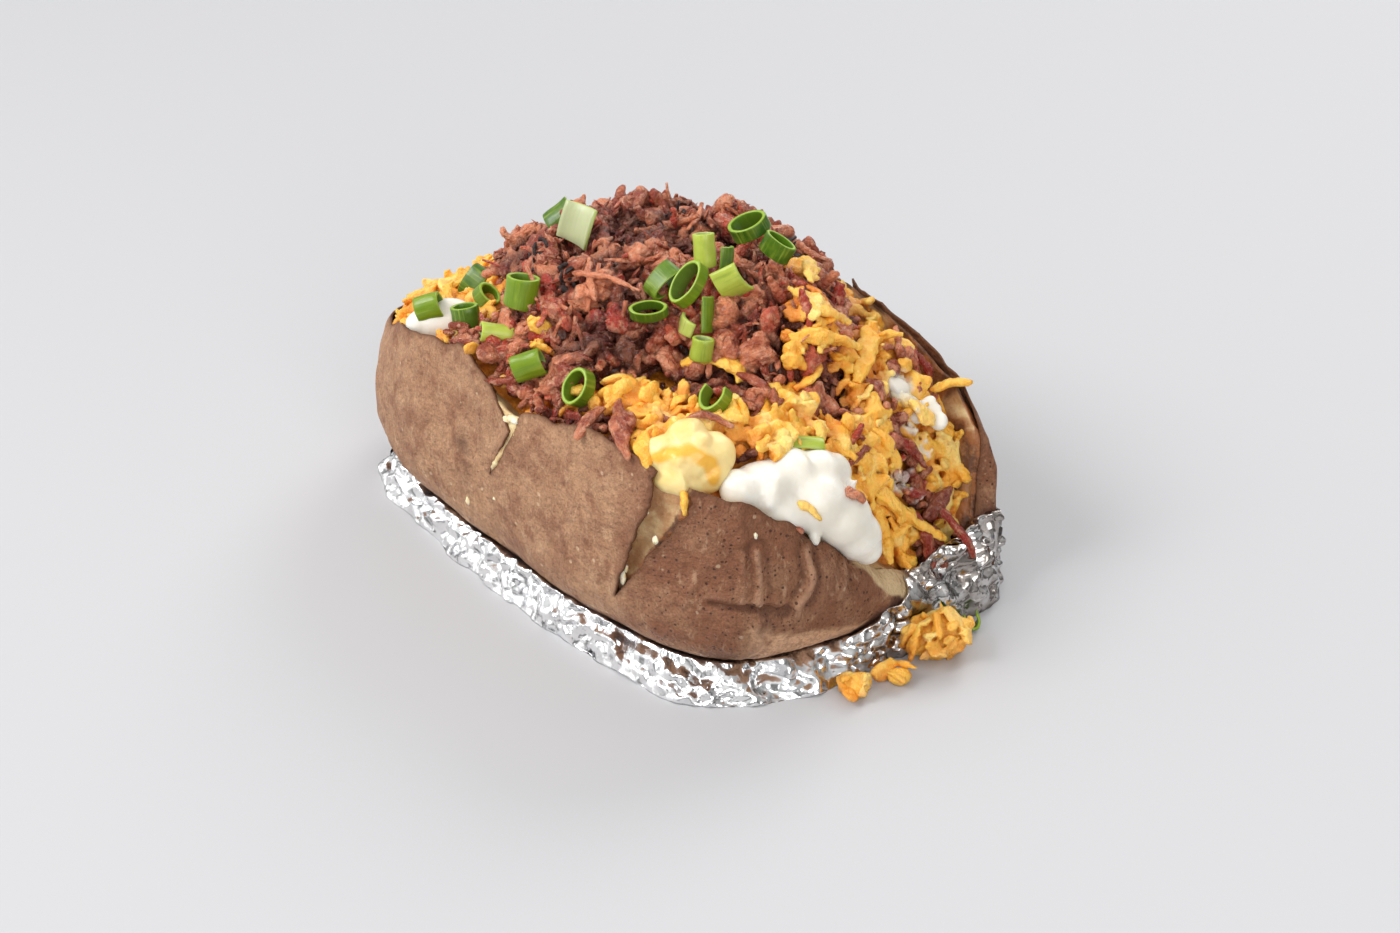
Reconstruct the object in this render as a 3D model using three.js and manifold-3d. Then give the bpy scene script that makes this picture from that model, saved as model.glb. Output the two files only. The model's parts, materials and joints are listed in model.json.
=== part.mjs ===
// A loaded baked potato in its foil: a large baking potato split open along its length and filled
// with grated cheese, chopped smoked beef, butter, sour cream and spring onion.
// Millimetres, +Z up. The origin is on the flat of the foil, under the potato's middle.
// +X runs along the potato, towards the end where the filling spills over the open skin.
import * as THREE from "three";
import { mergeVertices } from "three/addons/utils/BufferGeometryUtils.js";
import Module from "manifold-3d";

const wasm = await Module();
wasm.setup();

// ---- Driving dimensions -------------------------------------------------------------------
const POTATO_LENGTH = 161;
const POTATO_WIDTH = 104;
const OUTLINE_POWER = 3.3; // 2 is an ellipse, larger is squarer
const POTATO_BOTTOM = 1.6; // underside, above the floor
const BELLY_HEIGHT = 25; // where the skin is widest
const BELLY_SHARE = 0.62; // of the rim's height, where the rim is low
const UNDERSIDE = 0.45; // share of the skin's rings that lies below the belly
const RIM_LEAN = 0.07; // share of the plan by which the rim leans in
const RIM_WALL = 3; // how thick the flesh is just inside the rim
const TROUGH_FLOOR = 36; // the mashed flesh under the filling
const GAP = 0.4; // kept between neighbours
const FOIL_LIP = 1.2; // how thick the crushed foil is at its crest
const FOIL_TUCK = 3; // how far the crest folds in, into the potato
const CHEESE_CROWN = 63;
const BEEF_EDGE = 2.5; // how thick the beef is at its edge
const BEEF_DEPTH = 12.5; // and how much thicker in its middle
const BEEF_FOOT = 55; // the flat foot of the beef, inside the cheese

// How finely the solids are faceted: columns round the plan, and rings up each surface.
const POTATO_COLUMNS = 48;
const SKIN_RINGS = 8;
const TROUGH_RINGS = 6;
const HEAP_RINGS = 6;
const RISE_STEPS = 60; // tries at finding where the skin reaches a height

// Height of the torn skin edge against the angle round the plan, in degrees from +X.
const RIM_HEIGHTS = [
  [-90, 52],
  [-73, 56],
  [-58, 60],
  [-45, 59],
  [-34, 55],
  [-27, 53],
  [-19, 46],
  [-12, 38],
  [-4, 29],
  [4, 21],
  [9, 17],
  [13, 11],
  [18, 10],
  [25, 10.5],
  [30, 22],
  [34, 42],
  [40, 50],
  [60, 57],
  [85, 59],
  [125, 55],
  [160, 42],
  [190, 41],
  [214, 46],
  [224, 53],
  [238, 57],
  [250, 60],
  [262, 55],
];

// How far the outline swells or draws in from the squared-off oval, in mm.
const OUTLINE_SWELL = [
  [-30, 0],
  [10, 0],
  [32, 8],
  [44, 3],
  [60, 0],
  [150, -2],
  [200, 0],
  [217, 1.5],
  [245, 0],
];

// How far the foil's collar reaches past the skin, and how high it stands, in mm.
const COLLAR = [
  [-90, 2.5, 9],
  [-50, 2.5, 8],
  [-33, 4, 8],
  [-20, 1.5, 6],
  [-8, 1.8, 8],
  [3, 2, 14],
  [10, 2.2, 18],
  [20, 2, 20],
  [31, 2, 20],
  [44, 2.5, 13],
  [90, 5, 10],
  [180, 2, 9],
  [205, -0.5, 6],
  [225, 0.5, 7],
];

// Where the chopped beef ends, as a distance from its own middle, in mm.
const BEEF_MIDDLE = new THREE.Vector2(0, 8);
const BEEF_REACH = [
  [-90, 52],
  [-75, 52],
  [-66, 43],
  [-53, 33],
  [-22, 38],
  [-10, 46],
  [-1, 52],
  [16, 48],
  [35, 40],
  [83, 36],
  [131, 44],
  [152, 57],
  [168, 62],
  [197, 61],
  [224, 47],
];

// Scoops and clumps: the middle and size in mm, where the long side points and how far that end
// dips in degrees. A roundness of 1 is an egg and a smaller one is blockier.
const SOUR_CREAM = {
  sour_cream_front: { at: [69, -11, 45], size: [37, 23, 20], heading: 58, dip: 38, roundness: 0.85 },
  sour_cream_left: { at: [-40, -37, 53], size: [27, 14, 12], heading: -4, dip: 2, roundness: 0.9 },
  sour_cream_right: { at: [60, 33, 46], size: [21, 13, 9], heading: 100, dip: 10, roundness: 0.9 },
};
const BUTTER = { at: [51, -34, 56], size: [21, 16, 15], heading: 20, dip: 12, roundness: 0.6 };
const SPILLED_CHEESE = {
  spilled_cheese_1: { at: [87, 13.5, 4], size: [23, 17, 16], heading: 62, dip: 0, roundness: 0.8 },
  spilled_cheese_2: { at: [87, -13, 2], size: [10, 8, 8], heading: 100, dip: 0, roundness: 0.8 },
  spilled_cheese_3: { at: [90, -3, 1.5], size: [9, 7, 6], heading: 70, dip: 0, roundness: 0.8 },
};

// Cut spring onion: tubes and rings, some squashed flat, and strips of leaf. The stem of each is
// tilted from upright towards a heading and spun about itself, in degrees. A sweep below 360
// leaves a part of the tube's wall.
const ONION_WALL = 1.1;
const ONION_SIDES = 10;
const POCKET_SIDES = 6; // of the room that a whole tube takes up
const ONION_CUTS = {
  tube: { radius: 3.6, squash: 0.8, length: 7.5, sweep: 360 },
  ring: { radius: 4.6, squash: 0.72, length: 4.2, sweep: 360 },
  leaf: { radius: 4.8, squash: 0.45, length: 5.2, sweep: 360 },
  stalk: { radius: 2.7, squash: 0.88, length: 7, sweep: 360 },
  strip: { radius: 4.2, squash: 1, length: 7.5, sweep: 100 },
  plate: { radius: 8.5, squash: 1, length: 9.5, sweep: 70 },
};
const SPRING_ONIONS = [
  { cut: "plate", at: [-26, -6, 76], tilt: 22, heading: 91, spin: 14, pale: true },
  { cut: "strip", at: [-37, -5, 75], tilt: 52, heading: 62, spin: -165 },
  { cut: "tube", at: [-42, -41, 58], tilt: 70, heading: 46, spin: 177, length: 6.5 },
  { cut: "leaf", at: [-49, -22, 55], tilt: 107, heading: 15, spin: 151 },
  { cut: "ring", at: [-36, -28, 59], tilt: 40, heading: 18, spin: 180, radius: 3.4 },
  { cut: "tube", at: [-29, -39, 59], tilt: 15, heading: 178, spin: -134, length: 8.5 },
  { cut: "tube", at: [-14, -33, 72], tilt: 12, heading: 90, spin: -46, radius: 4.1 },
  { cut: "stalk", at: [-14, -41, 63], tilt: 77, heading: -124, spin: 176, length: 8, pale: true },
  { cut: "tube", at: [0, -42, 61], tilt: 70, heading: 49, spin: -176, squash: 0.7 },
  { cut: "ring", at: [17, -40, 62], tilt: 53, heading: -85, spin: -172 },
  { cut: "stalk", at: [15, 0, 84], tilt: 16, heading: 157, spin: -118, length: 8, pale: true },
  { cut: "strip", at: [20, 4, 81], tilt: 22, heading: 127, spin: -114, radius: 3.4 },
  { cut: "leaf", at: [12, -10.5, 78], tilt: 101, heading: -3, spin: 132 },
  { cut: "ring", at: [19, -8, 79], tilt: 47, heading: -95, spin: -177, radius: 5.8, squash: 0.55 },
  { cut: "ring", at: [16, -18, 74], tilt: 21, heading: -57, spin: 106, length: 3.2, squash: 0.5 },
  { cut: "strip", at: [27, -1.5, 79], tilt: 60, heading: 48, spin: -77, radius: 6.5, pale: true },
  { cut: "strip", at: [22, -13, 71], tilt: 20, heading: 73, spin: -172, length: 4, pale: true },
  { cut: "stalk", at: [29, -12.5, 67.5], tilt: 14, heading: 108, spin: -70, length: 5.5, pale: true },
  { cut: "ring", at: [43, -20, 64], tilt: 40, heading: -88, spin: 16, sweep: 235 },
  { cut: "ring", at: [13, 16, 83.5], tilt: 25, heading: -121, spin: 172, radius: 5 },
  { cut: "leaf", at: [21.5, 17.5, 81], tilt: 25, heading: 33, spin: -9, radius: 4.2 },
  { cut: "strip", at: [25.5, -6.5, 73], tilt: 27, heading: 136, spin: -116, radius: 3.4, length: 9 },
  { cut: "strip", at: [61.5, -7.5, 56.2], tilt: 84, heading: -127, spin: 169, radius: 2.8, pale: true },
  { cut: "ring", at: [85.6, 25.4, 2.9], tilt: 75, heading: -40, spin: 20, radius: 2.8, length: 3.4, sweep: 235 },
];

// ---- Small maths --------------------------------------------------------------------------
const TURN = 2 * Math.PI;
const mix = THREE.MathUtils.lerp;
const radians = THREE.MathUtils.degToRad;
const clamp01 = (value) => THREE.MathUtils.clamp(value, 0, 1);

// A smooth lumpy field of about -1 to 1, with lumps of the given size in mm.
function lumps(x, y, z, size, seed) {
  const k = TURN / size;
  return (
    (Math.sin(k * (0.83 * x + 0.55 * y) + 1.7 * seed) +
      Math.sin(k * (0.92 * y - 0.38 * z) + 2.3 * seed + 1) +
      Math.sin(k * (0.74 * z + 0.67 * x) + 3.1 * seed + 2) +
      Math.sin(k * (1.31 * x - 1.13 * y + 0.57 * z) + 4.7 * seed)) /
    3
  );
}

// Reads one column of a table that starts each row with degrees, as a closed smooth curve.
function roundTable(table, column = 1) {
  const first = table[0][0];
  const closed = [...table, [first + 360, ...table[0].slice(1)]];
  return (angle) => {
    const degrees = first + THREE.MathUtils.euclideanModulo(THREE.MathUtils.radToDeg(angle) - first, 360);
    const next = closed.findIndex((row) => row[0] > degrees);
    const [from, to] = [closed[next - 1], closed[next]];
    return mix(from[column], to[column], THREE.MathUtils.smoothstep(degrees, from[0], to[0]));
  };
}

const rimHeight = roundTable(RIM_HEIGHTS);
const swell = roundTable(OUTLINE_SWELL);
const collarReach = roundTable(COLLAR, 1);
const collarHeight = roundTable(COLLAR, 2);
const beefReach = roundTable(BEEF_REACH);

// The plan radius of the potato at its widest, at an angle round it.
function planRadius(angle) {
  const across = Math.abs(Math.cos(angle) / (POTATO_LENGTH / 2)) ** OUTLINE_POWER;
  const along = Math.abs(Math.sin(angle) / (POTATO_WIDTH / 2)) ** OUTLINE_POWER;
  return (across + along) ** (-1 / OUTLINE_POWER) + swell(angle);
}

const polar = (angle, radius, height) => [radius * Math.cos(angle), radius * Math.sin(angle), height];

// ---- Solids -------------------------------------------------------------------------------
function solidFromArrays(vertProperties, triVerts) {
  return new wasm.Manifold(new wasm.Mesh({ numProp: 3, vertProperties, triVerts }));
}

function solidFromGeometry(geometry) {
  const bare = geometry.clone();
  bare.deleteAttribute("normal");
  bare.deleteAttribute("uv");
  const merged = mergeVertices(bare, 1e-3);
  return solidFromArrays(new Float32Array(merged.attributes.position.array), new Uint32Array(merged.index.array));
}

// A closed solid of rings of points, from a pole at its foot to a pole at its head.
// pointAt(angle, share) gives the point on the ring at that share of the way up.
function ringSolid(columns, rings, pointAt) {
  const positions = [...pointAt(0, 0)];
  for (let i = 1; i < rings; i += 1)
    for (let j = 0; j < columns; j += 1) positions.push(...pointAt((TURN * j) / columns, i / rings));
  positions.push(...pointAt(0, 1));
  const head = 1 + (rings - 1) * columns;
  const index = [];
  for (let j = 0; j < columns; j += 1) {
    const next = (j + 1) % columns;
    index.push(0, 1 + next, 1 + j);
    for (let i = 0; i < rings - 2; i += 1) {
      const low = 1 + i * columns;
      const high = low + columns;
      index.push(low + j, low + next, high + next, low + j, high + next, high + j);
    }
    index.push(head - columns + j, head - columns + next, head);
  }
  return solidFromArrays(new Float32Array(positions), new Uint32Array(index));
}

function meshFromSolid(name, solid, material) {
  const { vertProperties, triVerts } = solid.getMesh();
  const geometry = new THREE.BufferGeometry();
  geometry.setAttribute("position", new THREE.BufferAttribute(vertProperties, 3));
  geometry.setIndex(new THREE.BufferAttribute(triVerts, 1));
  geometry.computeVertexNormals();
  const mesh = new THREE.Mesh(geometry, material);
  mesh.name = name;
  return mesh;
}

// ---- Materials ----------------------------------------------------------------------------
const material = (color, roughness, metalness = 0) =>
  new THREE.MeshStandardMaterial({ color, roughness, metalness });
const skinBrown = material(0xa8805f, 0.75);
const foilSilver = material(0xd8d9da, 0.25, 1);
const cheddarYellow = material(0xf0b04a, 0.5);
const beefBrown = material(0x97594a, 0.6);
const butterYellow = material(0xf7e3a0, 0.45);
const creamWhite = material(0xf6f2ea, 0.35);
const onionGreen = material(0x5f9030, 0.45);
const onionPale = material(0xb5cc70, 0.4);

// ---- Potato -------------------------------------------------------------------------------
// The outside: a rounded underside up to the belly, then a side that leans in to the rim.
function skinPoint(angle, rise, grow) {
  const rim = rimHeight(angle);
  const belly = Math.min(BELLY_HEIGHT, BELLY_SHARE * rim);
  let plan;
  let height;
  if (rise < UNDERSIDE) {
    const turn = (rise / UNDERSIDE) * (Math.PI / 2);
    plan = Math.sin(turn) ** 0.34;
    height = belly - (belly - POTATO_BOTTOM + grow) * Math.cos(turn) ** 0.7;
  } else {
    const up = (rise - UNDERSIDE) / (1 - UNDERSIDE);
    plan = 1 - RIM_LEAN * up ** 2.2;
    height = mix(belly, rim, up);
  }
  const radius = planRadius(angle) * plan + grow;
  const [x, y] = polar(angle, radius, height);
  return polar(angle, radius + 0.8 * plan * lumps(x, y, height, 46, 2), height);
}

// The rise at which the skin stands at a height below the rim.
function riseAt(angle, height) {
  const steps = [...Array(RISE_STEPS).keys()];
  const reached = steps.find((step) => skinPoint(angle, step / RISE_STEPS, GAP)[2] >= height);
  return (reached ?? RISE_STEPS - 1) / RISE_STEPS;
}

// The trough: from the rim down to the mashed flesh, or up to it at the open end.
function troughPoint(angle, inward, grow) {
  const rim = rimHeight(angle);
  const power = rim > TROUGH_FLOOR ? 0.4 : 0.9;
  const wall = RIM_WALL * clamp01(inward * 6);
  const radius = (planRadius(angle) * (1 - RIM_LEAN) - wall) * (1 - inward);
  return polar(angle, Math.max(0, radius - 2 * grow), mix(rim, TROUGH_FLOOR, inward ** power) + grow);
}

function potatoSolid(grow = 0) {
  const rings = SKIN_RINGS + TROUGH_RINGS;
  const outside = SKIN_RINGS / rings;
  return ringSolid(POTATO_COLUMNS, rings, (angle, share) =>
    share <= outside
      ? skinPoint(angle, share / outside, grow)
      : troughPoint(angle, (share - outside) / (1 - outside), grow),
  );
}

// A split in the side wall: a wedge, wide at the rim and narrow at its foot, pushed into the wall.
const SPLITS = [
  { angle: -95, lean: 8, width: 6, from: 60, to: 30, depth: 5 },
  { angle: -48, lean: 14, width: 12, from: 64, to: 20, depth: 6 },
  { angle: 78, lean: -6, width: 7, from: 66, to: 26, depth: 5 },
];

function splitSolid({ angle, lean, width, from, to, depth }) {
  const wedge = new THREE.Shape([
    new THREE.Vector2(0, 0),
    new THREE.Vector2(lean + width / 2, from - to),
    new THREE.Vector2(lean - width / 2, from - to),
  ]);
  const geometry = new THREE.ExtrudeGeometry(wedge, { depth: 2 * depth, bevelEnabled: false });
  const turn = radians(angle);
  const side = new THREE.Vector3(0, Math.sign(Math.sin(turn)), 0);
  const reach = planRadius(turn) - depth;
  const [x, y] = polar(turn, reach, 0);
  const along = new THREE.Vector3(0, 0, 1).cross(side);
  const frame = new THREE.Matrix4().makeBasis(along, new THREE.Vector3(0, 0, 1), side);
  frame.setPosition(x, y, to);
  geometry.applyMatrix4(frame);
  return solidFromGeometry(geometry);
}

// ---- Foil ---------------------------------------------------------------------------------
// A doubled sheet under the potato, crushed up round its foot into a thick uneven collar: out
// along the floor, up the outside to the crest, and over into the potato, which is cut away.
function foilSolid(grow = 0) {
  const rings = 8;
  const floor = 1 / rings; // shares of the rings on the floor, and up to the crest
  const crest = (rings - 2) / rings;
  return ringSolid(POTATO_COLUMNS, rings, (angle, share) => {
    const skin = planRadius(angle);
    const crush = 1.3 * lumps(...polar(angle, skin, 0), 23, 5);
    if (share <= floor) return polar(angle, ((skin + collarReach(angle) + crush + grow) * share) / floor, 0);
    const tall = collarHeight(angle) + 1.2 * lumps(...polar(angle, skin, 0), 15, 7) + grow;
    const [x, y] = skinPoint(angle, riseAt(angle, tall), GAP);
    const inner = Math.hypot(x, y);
    if (share <= crest) {
      const up = (share - floor) / (crest - floor);
      const outer = mix(skin + collarReach(angle) + crush + grow, inner + FOIL_LIP, up ** 1.6);
      return polar(angle, outer, tall * Math.sin(up * (Math.PI / 2)));
    }
    const tucked = share < 1 ? inner - FOIL_TUCK : 0;
    return polar(angle, tucked, Math.min(tall, rimHeight(angle)) - 2);
  });
}

// ---- Filling ------------------------------------------------------------------------------
// How high the grated cheese stands at a place in plan.
function cheeseTop(x, y) {
  const angle = Math.atan2(y, x);
  const across = clamp01(Math.hypot(x, y) / (planRadius(angle) * (1 - RIM_LEAN)));
  const steep = mix(2.8, 6, clamp01(Math.cos(angle)) ** 3);
  const dome = 1 - across ** steep;
  return mix(rimHeight(angle), CHEESE_CROWN, dome) + 1.8 * dome * lumps(x, y, 0, 17, 11);
}

function cheeseSolid(grow = 0) {
  const rings = TROUGH_RINGS + HEAP_RINGS;
  const below = TROUGH_RINGS / rings;
  return ringSolid(POTATO_COLUMNS, rings, (angle, share) => {
    if (share < below) return troughPoint(angle, 1 - share / below, GAP);
    const edge = troughPoint(angle, 0, GAP);
    const across = (1 - share) / (1 - below);
    const [x, y] = [edge[0] * across, edge[1] * across];
    return [x, y, Math.max(cheeseTop(x, y), across === 1 ? edge[2] : 0) + grow];
  });
}

// How high the chopped beef stands at a place in plan, at a share of its reach out from its middle.
function beefTop(x, y, across) {
  const dome = 1 - across ** 6;
  return cheeseTop(x, y) + BEEF_EDGE + BEEF_DEPTH * dome + 1.8 * dome * lumps(x, y, 0, 14, 17);
}

// The beef, down to a flat foot inside the cheese, which is cut away.
function beefSolid(columns) {
  const rings = HEAP_RINGS + 1;
  return ringSolid(columns, rings, (angle, share) => {
    if (share === 0) return [BEEF_MIDDLE.x, BEEF_MIDDLE.y, BEEF_FOOT];
    const across = ((1 - share) * rings) / HEAP_RINGS;
    const [dx, dy] = polar(angle, beefReach(angle) * across, 0);
    const [x, y] = [BEEF_MIDDLE.x + dx, BEEF_MIDDLE.y + dy];
    return [x, y, beefTop(x, y, across)];
  });
}

// A scoop or clump: an egg, more or less blocky, with a lumpy face. Nothing goes below the floor.
function moundSolid({ at, size, heading, dip, roundness }, grow = 0, columns = 14, rings = 8) {
  const place = new THREE.Matrix4()
    .makeRotationZ(radians(heading))
    .multiply(new THREE.Matrix4().makeRotationY(radians(dip)))
    .setPosition(...at);
  const blocky = (value) => Math.sign(value) * Math.abs(value) ** roundness;
  const [along, across, tall] = size.map((full) => full / 2 + grow);
  return ringSolid(columns, rings, (angle, share) => {
    const turn = Math.PI * share;
    const out = Math.max(0, Math.sin(turn)) ** roundness;
    const point = new THREE.Vector3(
      along * blocky(Math.cos(angle)) * out,
      across * blocky(Math.sin(angle)) * out,
      -tall * blocky(Math.cos(turn)),
    );
    point.multiplyScalar(1 + 0.06 * lumps(...point, 13, at[0])).applyMatrix4(place);
    return [point.x, point.y, Math.max(0, point.z)];
  });
}

// ---- Spring onion -------------------------------------------------------------------------
// A part of an oval, as points, in the given number of steps.
function arcPoints(radius, squash, half, steps) {
  return [...Array(steps + 1).keys()].map((step) => {
    const angle = mix(-half, half, step / steps);
    return new THREE.Vector2(radius * Math.cos(angle), radius * squash * Math.sin(angle));
  });
}

// The section of a cut across its stem. The middle of a narrow strip of the wall is at 0.
function onionSection({ radius, squash, sweep }, grow) {
  const half = radians(sweep / 2) + grow / radius;
  const steps = Math.ceil(sweep / 30);
  const outer = arcPoints(radius + grow, squash, half, steps);
  const inner = arcPoints(radius - ONION_WALL - grow, squash, half, steps);
  const shift = new THREE.Vector2(sweep < 180 ? radius : 0, 0);
  return new THREE.Shape([...outer, ...inner.reverse()].map((point) => point.sub(shift)));
}

// A whole tube's section, or with no wall the room that it takes up.
function tubeSection({ radius, squash }, sides, wall) {
  const section = new THREE.Shape(arcPoints(radius, squash, Math.PI, sides).slice(1));
  if (wall) section.holes.push(new THREE.Path(arcPoints(radius - wall, squash, Math.PI, sides).slice(1)));
  return section;
}

const onionCut = (onion) => ({ ...ONION_CUTS[onion.cut], ...onion });

function onionGeometry(section, depth) {
  return new THREE.ExtrudeGeometry(section, { depth, bevelEnabled: false }).translate(0, 0, -depth / 2);
}

function onionPlace({ at, tilt, heading, spin }) {
  return new THREE.Matrix4()
    .makeRotationZ(radians(heading))
    .multiply(new THREE.Matrix4().makeRotationY(radians(tilt)))
    .multiply(new THREE.Matrix4().makeRotationZ(radians(spin)))
    .setPosition(...at);
}

function onionMesh(onion, number) {
  const cut = onionCut(onion);
  const section = cut.sweep === 360 ? tubeSection(cut, ONION_SIDES, ONION_WALL) : onionSection(cut, 0);
  const name = `spring_onion_${String(number + 1).padStart(2, "0")}`;
  const solid = solidFromGeometry(onionGeometry(section, cut.length));
  const mesh = meshFromSolid(name, solid, onion.pale ? onionPale : onionGreen);
  mesh.applyMatrix4(onionPlace(onion));
  return mesh;
}

// The room that a cut takes up in what it lies in, with the gap round it.
function onionPocket(onion) {
  const cut = onionCut(onion);
  const room = { ...cut, radius: (cut.radius + GAP) / Math.cos(Math.PI / POCKET_SIDES) };
  const section = cut.sweep === 360 ? tubeSection(room, POCKET_SIDES, 0) : onionSection(cut, GAP);
  return solidFromGeometry(onionGeometry(section, cut.length + 2 * GAP).applyMatrix4(onionPlace(onion)));
}

// ---- Assembly -----------------------------------------------------------------------------
const cutBy = (solid, cutters) => cutters.reduce((rest, cutter) => rest.subtract(cutter), solid);
const mounds = (table, grow) => Object.values(table).map((mound) => moundSolid(mound, grow));

const group = new THREE.Group();
const pockets = SPRING_ONIONS.map(onionPocket);
const scoops = { ...SOUR_CREAM, butter: BUTTER };
const bedding = [...mounds(scoops, GAP), ...pockets];

const potato = cutBy(potatoSolid(), [...SPLITS.map(splitSolid), ...bedding]);
const cheese = cutBy(cheeseSolid(), bedding);
const beef = cutBy(beefSolid(34), [cheeseSolid(GAP), ...bedding]);
group.add(meshFromSolid("potato", potato, skinBrown));
const foil = cutBy(foilSolid(), [potatoSolid(GAP), cheeseSolid(GAP)]);
group.add(meshFromSolid("foil", foil, foilSilver));
group.add(meshFromSolid("cheese", cheese, cheddarYellow));
group.add(meshFromSolid("beef", beef, beefBrown));
Object.entries(scoops).forEach(([name, mound]) => {
  const look = name === "butter" ? butterYellow : creamWhite;
  group.add(meshFromSolid(name, cutBy(moundSolid(mound), pockets), look));
});
const beside = [foilSolid(GAP), ...pockets];
Object.entries(SPILLED_CHEESE).forEach(([name, mound]) => {
  group.add(meshFromSolid(name, cutBy(moundSolid(mound, 0, 10, 6), beside), cheddarYellow));
});
SPRING_ONIONS.forEach((onion, number) => group.add(onionMesh(onion, number)));

export default group;
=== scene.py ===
import json
import math

import bmesh
import bpy
import numpy as np
from mathutils import Matrix, Vector

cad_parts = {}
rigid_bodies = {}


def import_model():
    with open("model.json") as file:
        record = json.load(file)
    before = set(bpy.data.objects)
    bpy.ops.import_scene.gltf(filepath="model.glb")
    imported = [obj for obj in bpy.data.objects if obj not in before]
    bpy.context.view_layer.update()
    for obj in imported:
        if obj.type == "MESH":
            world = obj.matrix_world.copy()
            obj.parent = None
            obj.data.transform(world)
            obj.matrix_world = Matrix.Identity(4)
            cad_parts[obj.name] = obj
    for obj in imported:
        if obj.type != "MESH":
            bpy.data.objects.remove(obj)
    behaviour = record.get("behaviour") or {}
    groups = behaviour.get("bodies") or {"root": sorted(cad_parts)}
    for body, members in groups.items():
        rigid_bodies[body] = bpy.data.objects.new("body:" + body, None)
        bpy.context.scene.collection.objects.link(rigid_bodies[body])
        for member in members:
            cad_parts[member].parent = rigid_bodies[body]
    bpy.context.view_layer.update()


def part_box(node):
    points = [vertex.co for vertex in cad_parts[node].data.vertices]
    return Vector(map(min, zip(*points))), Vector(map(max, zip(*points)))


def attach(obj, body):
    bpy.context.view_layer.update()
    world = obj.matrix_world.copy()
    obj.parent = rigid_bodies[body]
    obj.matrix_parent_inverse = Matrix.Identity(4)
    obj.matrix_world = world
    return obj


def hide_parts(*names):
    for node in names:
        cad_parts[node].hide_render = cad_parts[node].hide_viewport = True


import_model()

# A loaded baked potato in foil: torn skin over pale flesh, grated cheese, chopped smoked beef,
# butter, sour cream and spring onion. Shapes are worked out in millimetres and stored in metres.
MM = 0.001
TURN = 2 * math.pi

# ---- The potato's own dimensions, in mm and degrees from +X -------------------------------------
LENGTH = 161
WIDTH = 104
OUTLINE_POWER = 3.3
POTATO_BOTTOM = 1.6
SKIN_THICKNESS = 0.5
# The skin is widest at the belly, which is lower where the rim is low. The wall starts there, a share
# of the way up the skin, and leans in towards the rim, most of it near the top.
BELLY_HEIGHT = 25
BELLY_SHARE = 0.62
WALL_FOOT = 0.45
RIM_LEAN = 0.07
LEAN_POWER = 2.2
TROUGH_FLOOR = 36
CHEESE_CROWN = 63
BEEF_EDGE = 2.5
BEEF_DEPTH = 12.5
BEEF_MIDDLE = (0, 8)
RIM_HEIGHTS = [
    [-90, 52], [-73, 56], [-58, 60], [-45, 59], [-34, 55], [-27, 53], [-19, 46], [-12, 38],
    [-4, 29], [4, 21], [9, 17], [13, 11], [18, 10], [25, 10.5], [30, 22], [34, 42], [40, 50], [60, 57],
    [85, 59], [125, 55], [160, 42], [190, 41], [214, 46], [224, 53], [238, 57], [250, 60], [262, 55],
]
OUTLINE_SWELL = [
    [-30, 0], [10, 0], [32, 8], [44, 3], [60, 0], [150, -2], [200, 0], [217, 1.5], [245, 0],
]
COLLAR = [
    [-90, 2.5, 9], [-50, 2.5, 8], [-33, 4, 8], [-20, 1.5, 6], [-8, 1.8, 8], [3, 2, 14], [10, 2.2, 18],
    [20, 2, 20], [31, 2, 20], [44, 2.5, 13], [90, 5, 10], [180, 2, 9], [205, -0.5, 6], [225, 0.5, 7],
]
BEEF_REACH = [
    [-90, 52], [-75, 52], [-66, 43], [-53, 33], [-22, 38], [-10, 46], [-1, 52], [16, 48], [35, 40],
    [83, 36], [131, 44], [152, 57], [168, 62], [197, 61], [224, 47],
]

# Splits in the skin: where each closes when shut, and its left and right edge at each height.
SPLITS = [
    {
        "shut": -90,
        "edges": [
            [31, -95.6, -95.4], [36, -93.2, -92.0], [43, -89.0, -87.2], [47.5, -86.8, -84.6],
            [49.5, -90, -84.0], [52, -94.5, -83.2], [58, -96.5, -82.0],
        ],
        "curl": (0.4, 0.3),
        "bulge": 2.0,
        "browned": 0.0,
    },
    {
        "shut": -43,
        "edges": [
            [20, -50.3, -50.3], [28, -48.4, -46.4], [37, -46.2, -42.2], [44, -44.3, -38.6],
            [51, -42.2, -35.6], [60, -41.2, -34.0],
        ],
        "curl": (1.6, 0.7),
        "bulge": 0.0,
        "browned": 0.42,
    },
    {
        "shut": 78,
        "edges": [[26, 79, 79], [38, 77, 80], [50, 75.5, 82], [62, 73, 84]],
        "curl": (0.8, 0.8),
        "bulge": 0.0,
        "browned": 0.2,
    },
]


# ---- Small maths --------------------------------------------------------------------------------
def smooth(value, low, high):
    """0 below low, 1 above high, and an even curve between."""
    share = np.clip((value - low) / (high - low), 0, 1)
    return share * share * (3 - 2 * share)


def mix(low, high, share):
    return low + (high - low) * share


def all_round(count):
    """Angles from -180 degrees, evenly round."""
    return TURN * np.arange(count) / count - math.pi


def round_table(table, angle, column=1):
    """Reads a table that starts each row with degrees, as a closed smooth curve."""
    rows = np.array(table, dtype=float)
    rows = np.vstack([rows, rows[:1]])
    rows[-1, 0] += 360
    degrees = rows[0, 0] + np.mod(np.degrees(angle) - rows[0, 0], 360)
    after = np.clip(np.searchsorted(rows[:, 0], degrees, side="right"), 1, len(rows) - 1)
    share = smooth(degrees, rows[after - 1, 0], rows[after, 0])
    return mix(rows[after - 1, column], rows[after, column], share)


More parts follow.
